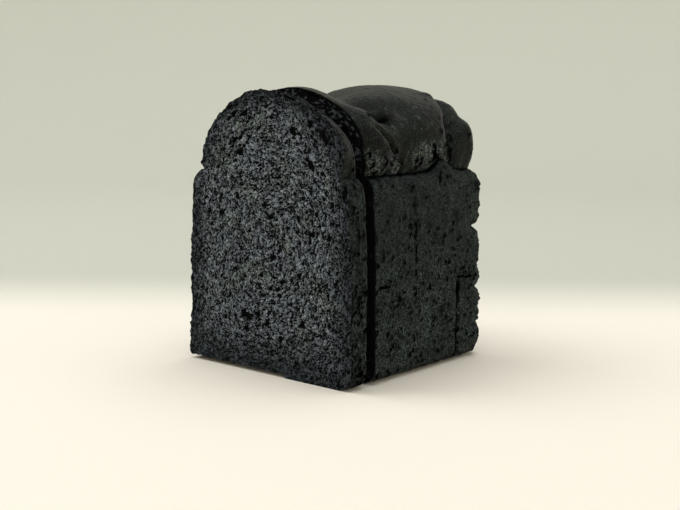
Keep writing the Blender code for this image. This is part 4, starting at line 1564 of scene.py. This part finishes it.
@dataclass(frozen=True)
class CharcoalCrust:
    """Crust of the same bread: matt and pitted where the tin pressed it, satin on the open dome.

    The tin walls look green-black and grainy, the dome softly grey, and torn crumb shows as speckle.
    """

    # The colours of tin wall, dome and torn crumb, each with its flecks, and of the painted shade in
    # pits, cracks and hollows.
    tin: str = "131818"
    tin_fleck: str = "465150"
    dome: str = "090D0A"
    dome_fleck: str = "2E352F"
    torn: str = "272C2A"
    torn_fleck: str = "858C88"
    painted_shade: str = "030404"
    # Baked starch has no clear highlight. On the dome a sheen stands for its fine dry bloom.
    roughness: float = 0.6
    tin_specular: float = 0.08
    dome_specular: float = 0.07
    dome_sheen: float = 0.24
    sheen_roughness: float = 0.27
    # Real grain is 0.2 to 0.4 mm wide, under a pixel in the render, so it is drawn about 1 mm wide.
    # There are fewer flecks in the upper part.
    fleck_size: float = 1.0
    fleck_range: tuple[float, float] = (0.48, 0.64)
    sparse_heights: tuple[float, float] = (40.0 * MM, 75.0 * MM)
    sparse_above: float = 0.6
    # Lighter and darker patches, as oven and tin left them.
    patch_size: float = 13.0
    patch_range: tuple[float, float] = (0.3, 0.7)
    patch_shades: tuple[float, float] = (0.5, 1.4)
    # Small open pits, painted black as shade, of which few are on the dome.
    pit_size: float = 2.1
    pits_shut: float = 0.4
    pits_on_dome: float = 0.1
    painted_shade_range: tuple[float, float] = (0.2, 0.9)
    grain_size: float = 0.8
    grain_height: float = 0.5
    grain_strength: float = 0.9

    def material(self) -> bpy.types.Material:
        """Mix the baked crust from tin wall, dome and torn crumb by the marks on the mesh.

        Returns:
            The material.
        """
        # Bread crust blackened with charcoal, baked in a tin: grainy and matt with small pits, painted
        # black as shade, where the metal pressed it, softly grey and smooth on the dome, and speckled where
        # it tore.
        made = bpy.data.materials.new("charcoal_crust_baked")
        made.use_nodes = True
        tree = made.node_tree
        shader = tree.nodes["Principled BSDF"]
        place = add_node(tree, "ShaderNodeTexCoord", {}).outputs["Object"]
        marks = {name: add_node(tree, "ShaderNodeAttribute", {}, attribute_name=name).outputs["Fac"]
                 for name in ("painted_shade", "dome", "torn")}
        body = add_node(tree, "ShaderNodeMix", {
            0: marks["dome"], 6: linear(self.tin), 7: linear(self.dome)}, data_type="RGBA")
        body = add_node(tree, "ShaderNodeMix", {
            0: marks["torn"], 6: body.outputs[2], 7: linear(self.torn)}, data_type="RGBA")
        pale = add_node(tree, "ShaderNodeMix", {
            0: marks["dome"], 6: linear(self.tin_fleck), 7: linear(self.dome_fleck)}, data_type="RGBA")
        pale = add_node(tree, "ShaderNodeMix", {
            0: marks["torn"], 6: pale.outputs[2], 7: linear(self.torn_fleck)}, data_type="RGBA")
        fleck = add_node(tree, "ShaderNodeTexNoise", {
            "Vector": place, "Scale": per_metre(self.fleck_size), "Detail": 2.0})
        bright = add_node(tree, "ShaderNodeMapRange", {
            "Value": fleck.outputs["Fac"], **spans(self.fleck_range)})
        height = add_node(tree, "ShaderNodeSeparateXYZ", {"Vector": place})
        sparse = add_node(tree, "ShaderNodeMapRange", {
            "Value": height.outputs["Z"], **spans(self.sparse_heights, (1.0, self.sparse_above))})
        bright = add_node(tree, "ShaderNodeMath", {
            0: bright.outputs["Result"], 1: sparse.outputs["Result"]}, operation="MULTIPLY")
        body = add_node(tree, "ShaderNodeMix", {
            0: bright.outputs[0], 6: body.outputs[2], 7: pale.outputs[2]}, data_type="RGBA")
        patch = add_node(tree, "ShaderNodeTexNoise", {
            "Vector": place, "Scale": per_metre(self.patch_size), "Detail": 5.0, "Roughness": 0.65})
        shade = add_node(tree, "ShaderNodeMapRange", {
            "Value": patch.outputs["Fac"], **spans(self.patch_range, self.patch_shades)})
        body = add_node(tree, "ShaderNodeMix", {
            0: 1.0, 6: body.outputs[2], 7: shade.outputs["Result"]}, data_type="RGBA",
            blend_type="MULTIPLY")
        # Painted shade in the small pits, few of them on the dome.
        rough = add_node(tree, "ShaderNodeMapRange", {
            "Value": marks["dome"], **spans((0.0, 1.0), (1.0, self.pits_on_dome))})
        pitted = add_node(tree, "ShaderNodeMath", {
            0: small_pits(tree, place, self.pit_size, self.pits_shut), 1: rough.outputs["Result"]},
            operation="MULTIPLY")
        body = add_node(tree, "ShaderNodeMix", {
            0: pitted.outputs[0], 6: body.outputs[2], 7: linear(self.painted_shade)}, data_type="RGBA")
        # Painted shade from the mesh's mark, which also takes gloss and sheen away there.
        dark = add_node(tree, "ShaderNodeMapRange", {
            "Value": marks["painted_shade"], **spans(self.painted_shade_range)})
        colour = add_node(tree, "ShaderNodeMix", {
            0: dark.outputs["Result"], 6: body.outputs[2], 7: linear(self.painted_shade)}, data_type="RGBA")
        grain = add_node(tree, "ShaderNodeTexNoise", {
            "Vector": place, "Scale": per_metre(self.grain_size), "Detail": 3.0})
        bump = add_node(tree, "ShaderNodeBump", {
            "Height": grain.outputs["Fac"], "Strength": self.grain_strength,
            "Distance": self.grain_height * MM})
        tree.links.new(colour.outputs[2], shader.inputs["Base Color"])
        tree.links.new(bump.outputs["Normal"], shader.inputs["Normal"])
        gloss = add_node(tree, "ShaderNodeMapRange", {
            "Value": marks["dome"], **spans((0.0, 1.0), (self.tin_specular, self.dome_specular))})
        dull = add_node(tree, "ShaderNodeMapRange", {
            "Value": dark.outputs["Result"], **spans((0.0, 1.0), (1.0, 0.0))})
        gloss = add_node(tree, "ShaderNodeMath", {
            0: gloss.outputs["Result"], 1: dull.outputs["Result"]}, operation="MULTIPLY")
        tree.links.new(gloss.outputs[0], shader.inputs["Specular IOR Level"])
        bare = add_node(tree, "ShaderNodeMath", {
            0: marks["dome"], 1: dull.outputs["Result"]}, operation="MULTIPLY")
        sheen = add_node(tree, "ShaderNodeMath", {
            0: bare.outputs[0], 1: self.dome_sheen}, operation="MULTIPLY")
        tree.links.new(sheen.outputs[0], shader.inputs["Sheen Weight"])
        shader.inputs["Sheen Roughness"].default_value = self.sheen_roughness
        shader.inputs["Roughness"].default_value = self.roughness
        return made


@dataclass(frozen=True)
class SoftBox:
    """A square soft box: its name, where it hangs and its side in metres, and its power in watts."""

    name: str
    place: tuple[float, float, float]
    side: float
    power: float
    aim_height: float = 0.08

    def hang(self) -> None:
        """Hang the lamp so that it looks at the part, unseen by the camera."""
        light = bpy.data.lights.new(self.name, "AREA")
        light.size = self.side
        light.energy = self.power
        made = bpy.data.objects.new(self.name, light)
        made.location = self.place
        sight = Vector((0.0, 0.0, self.aim_height)) - Vector(self.place)
        made.rotation_euler = sight.to_track_quat("-Z", "Y").to_euler()
        made.visible_camera = False
        bpy.context.scene.collection.objects.link(made)


@dataclass(frozen=True)
class Studio:
    """A plain pale floor that curves up into a backdrop all round, and soft light from the upper left."""

    # Colours of the floor, of the backdrop and of the light from all round.
    floor: str = "EEE8DC"
    backdrop: str = "C0C1B5"
    room: str = "C4C8C8"
    room_strength: float = 0.4
    lamps: tuple[SoftBox, ...] = (
        SoftBox("key_soft_box", (-1.6, -0.8, 2.7), 1.9, 46.0),
        SoftBox("top_soft_box", (0.2, 0.5, 3.0), 2.6, 52.0))
    # The floor's shape in metres, and the way to its back.
    flat_radius: float = 1.2
    sweep: float = 0.8
    wall_height: float = 1.6
    segments: int = 96
    back: float = math.radians(39.93)
    colour_change: tuple[float, float] = (0.1, 0.3)
    roughness: float = 0.8

    def build(self) -> None:
        """Build floor, lamps and surrounding light."""
        self.lay_floor()
        for lamp in self.lamps:
            lamp.hang()
        world = bpy.data.worlds.new("pale_room")
        bpy.context.scene.world = world
        world.use_nodes = True
        around = world.node_tree.nodes["Background"].inputs
        around["Color"].default_value = linear(self.room)
        around["Strength"].default_value = self.room_strength

    def lay_floor(self) -> None:
        """Turn the floor's outline round the middle of the part."""
        radii = [0.0] + list(np.linspace(0.1, self.flat_radius, 12))
        heights = [0.0] * len(radii)
        for angle in np.linspace(0.0, math.pi / 2.0, 13)[1:]:
            radii.append(self.flat_radius + self.sweep * math.sin(angle))
            heights.append(self.sweep * (1.0 - math.cos(angle)))
        radii.append(self.flat_radius + self.sweep)
        heights.append(self.wall_height)
        points = [(0.0, 0.0, 0.0)]
        for radius, height in zip(radii[1:], heights[1:]):
            for turn in np.arange(self.segments) * math.tau / self.segments:
                points.append((radius * math.cos(turn), radius * math.sin(turn), height))
        faces = [(0, 1 + i, 1 + (i + 1) % self.segments) for i in range(self.segments)]
        for ring in range(len(radii) - 2):
            near, far = 1 + ring * self.segments, 1 + (ring + 1) * self.segments
            for i in range(self.segments):
                j = (i + 1) % self.segments
                faces.append((near + i, far + i, far + j, near + j))
        mesh = bpy.data.meshes.new("floor")
        mesh.from_pydata(points, [], faces)
        mesh.shade_smooth()
        mesh.materials.append(self.painted_board())
        floor = bpy.data.objects.new("floor", mesh)
        bpy.context.scene.collection.objects.link(floor)

    def painted_board(self) -> bpy.types.Material:
        """Matt paint, cream under the part and grey-green behind it.

        Returns:
            The material.
        """
        # Matt emulsion paint, rolled on: an even, soft tone that mirrors nothing, so that the black
        # bread stands out and its shadow stays soft.
        made = bpy.data.materials.new("matt_board_painted")
        made.use_nodes = True
        tree = made.node_tree
        shader = tree.nodes["Principled BSDF"]
        place = add_node(tree, "ShaderNodeTexCoord", {}).outputs["Object"]
        reach = add_node(tree, "ShaderNodeVectorMath", {
            0: place, 1: (-math.sin(self.back), math.cos(self.back), 0.0)}, operation="DOT_PRODUCT")
        out = add_node(tree, "ShaderNodeMapRange", {
            "Value": reach.outputs["Value"], **spans(self.colour_change)},
            interpolation_type="SMOOTHSTEP")
        colour = add_node(tree, "ShaderNodeMix", {
            0: out.outputs["Result"], 6: linear(self.floor), 7: linear(self.backdrop)}, data_type="RGBA")
        tree.links.new(colour.outputs[2], shader.inputs["Base Color"])
        shader.inputs["Roughness"].default_value = self.roughness
        return made


@dataclass(frozen=True)
class Viewpoint:
    """The camera of the photograph, as worked out from the loaf's edges."""

    # In metres from the middle of the part's base.
    place: tuple[float, float, float] = (0.4248, -0.5069, 0.1567)
    azimuth: float = math.radians(39.93)
    pitch: float = math.radians(8.33)
    roll: float = math.radians(0.48)
    focal_pixels: float = 1139.0
    image_width: float = 680.0
    sensor: float = 36.0

    def build(self) -> None:
        """Place the camera."""
        level = Vector((math.cos(self.azimuth), math.sin(self.azimuth), 0.0))
        ahead = Vector((-math.sin(self.azimuth) * math.cos(self.pitch),
                        math.cos(self.azimuth) * math.cos(self.pitch), -math.sin(self.pitch)))
        upright = level.cross(ahead)
        right = level * math.cos(self.roll) + upright * math.sin(self.roll)
        up = upright * math.cos(self.roll) - level * math.sin(self.roll)
        lens = bpy.data.cameras.new("photo_camera")
        lens.sensor_fit = "HORIZONTAL"
        lens.sensor_width = self.sensor
        lens.lens = self.sensor * self.focal_pixels / self.image_width
        lens.clip_start = 0.01
        camera = bpy.data.objects.new("photo_camera", lens)
        turned = Matrix((right, up, -ahead)).transposed().to_4x4()
        camera.matrix_world = Matrix.Translation(self.place) @ turned
        bpy.context.scene.collection.objects.link(camera)
        bpy.context.scene.camera = camera


def main() -> None:
    """Build the pieces in order, then the studio and the camera."""
    logging.basicConfig(level=logging.INFO, format="%(message)s")
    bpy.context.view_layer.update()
    finishes = {Skin.CRUMB: CharcoalCrumb().material(), Skin.CRUST: CharcoalCrust().material()}
    form = LoafForm()
    FrontSlice(form, "slice_bread", "front_slice", "crumb", columns=240, rows=312, wall_rows=228,
               depths=np.linspace(0.0, form.slice_thickness, SLICE_RINGS), front_ratio=1, back_ratio=3,
               ).build(finishes, back=Skin.CRUMB)
    tail = form.length - form.end_radius_wall
    turn = np.linspace(0.0, math.pi / 2.0, ROUNDED_END_RINGS + 1)
    rounding = tail + form.end_radius_wall * np.sin(turn)[1:]
    depths = np.concatenate((np.linspace(form.loaf_start, tail, LOAF_RINGS), rounding))
    Loaf(form, "loaf_bread", "loaf", "crust", columns=96, rows=208, wall_rows=152,
         depths=depths, front_ratio=2, back_ratio=1).build(finishes, back=Skin.CRUST)
    Studio().build()
    Viewpoint().build()
    bpy.context.scene.view_settings.view_transform = "Standard"


if __name__ == "__main__":
    main()
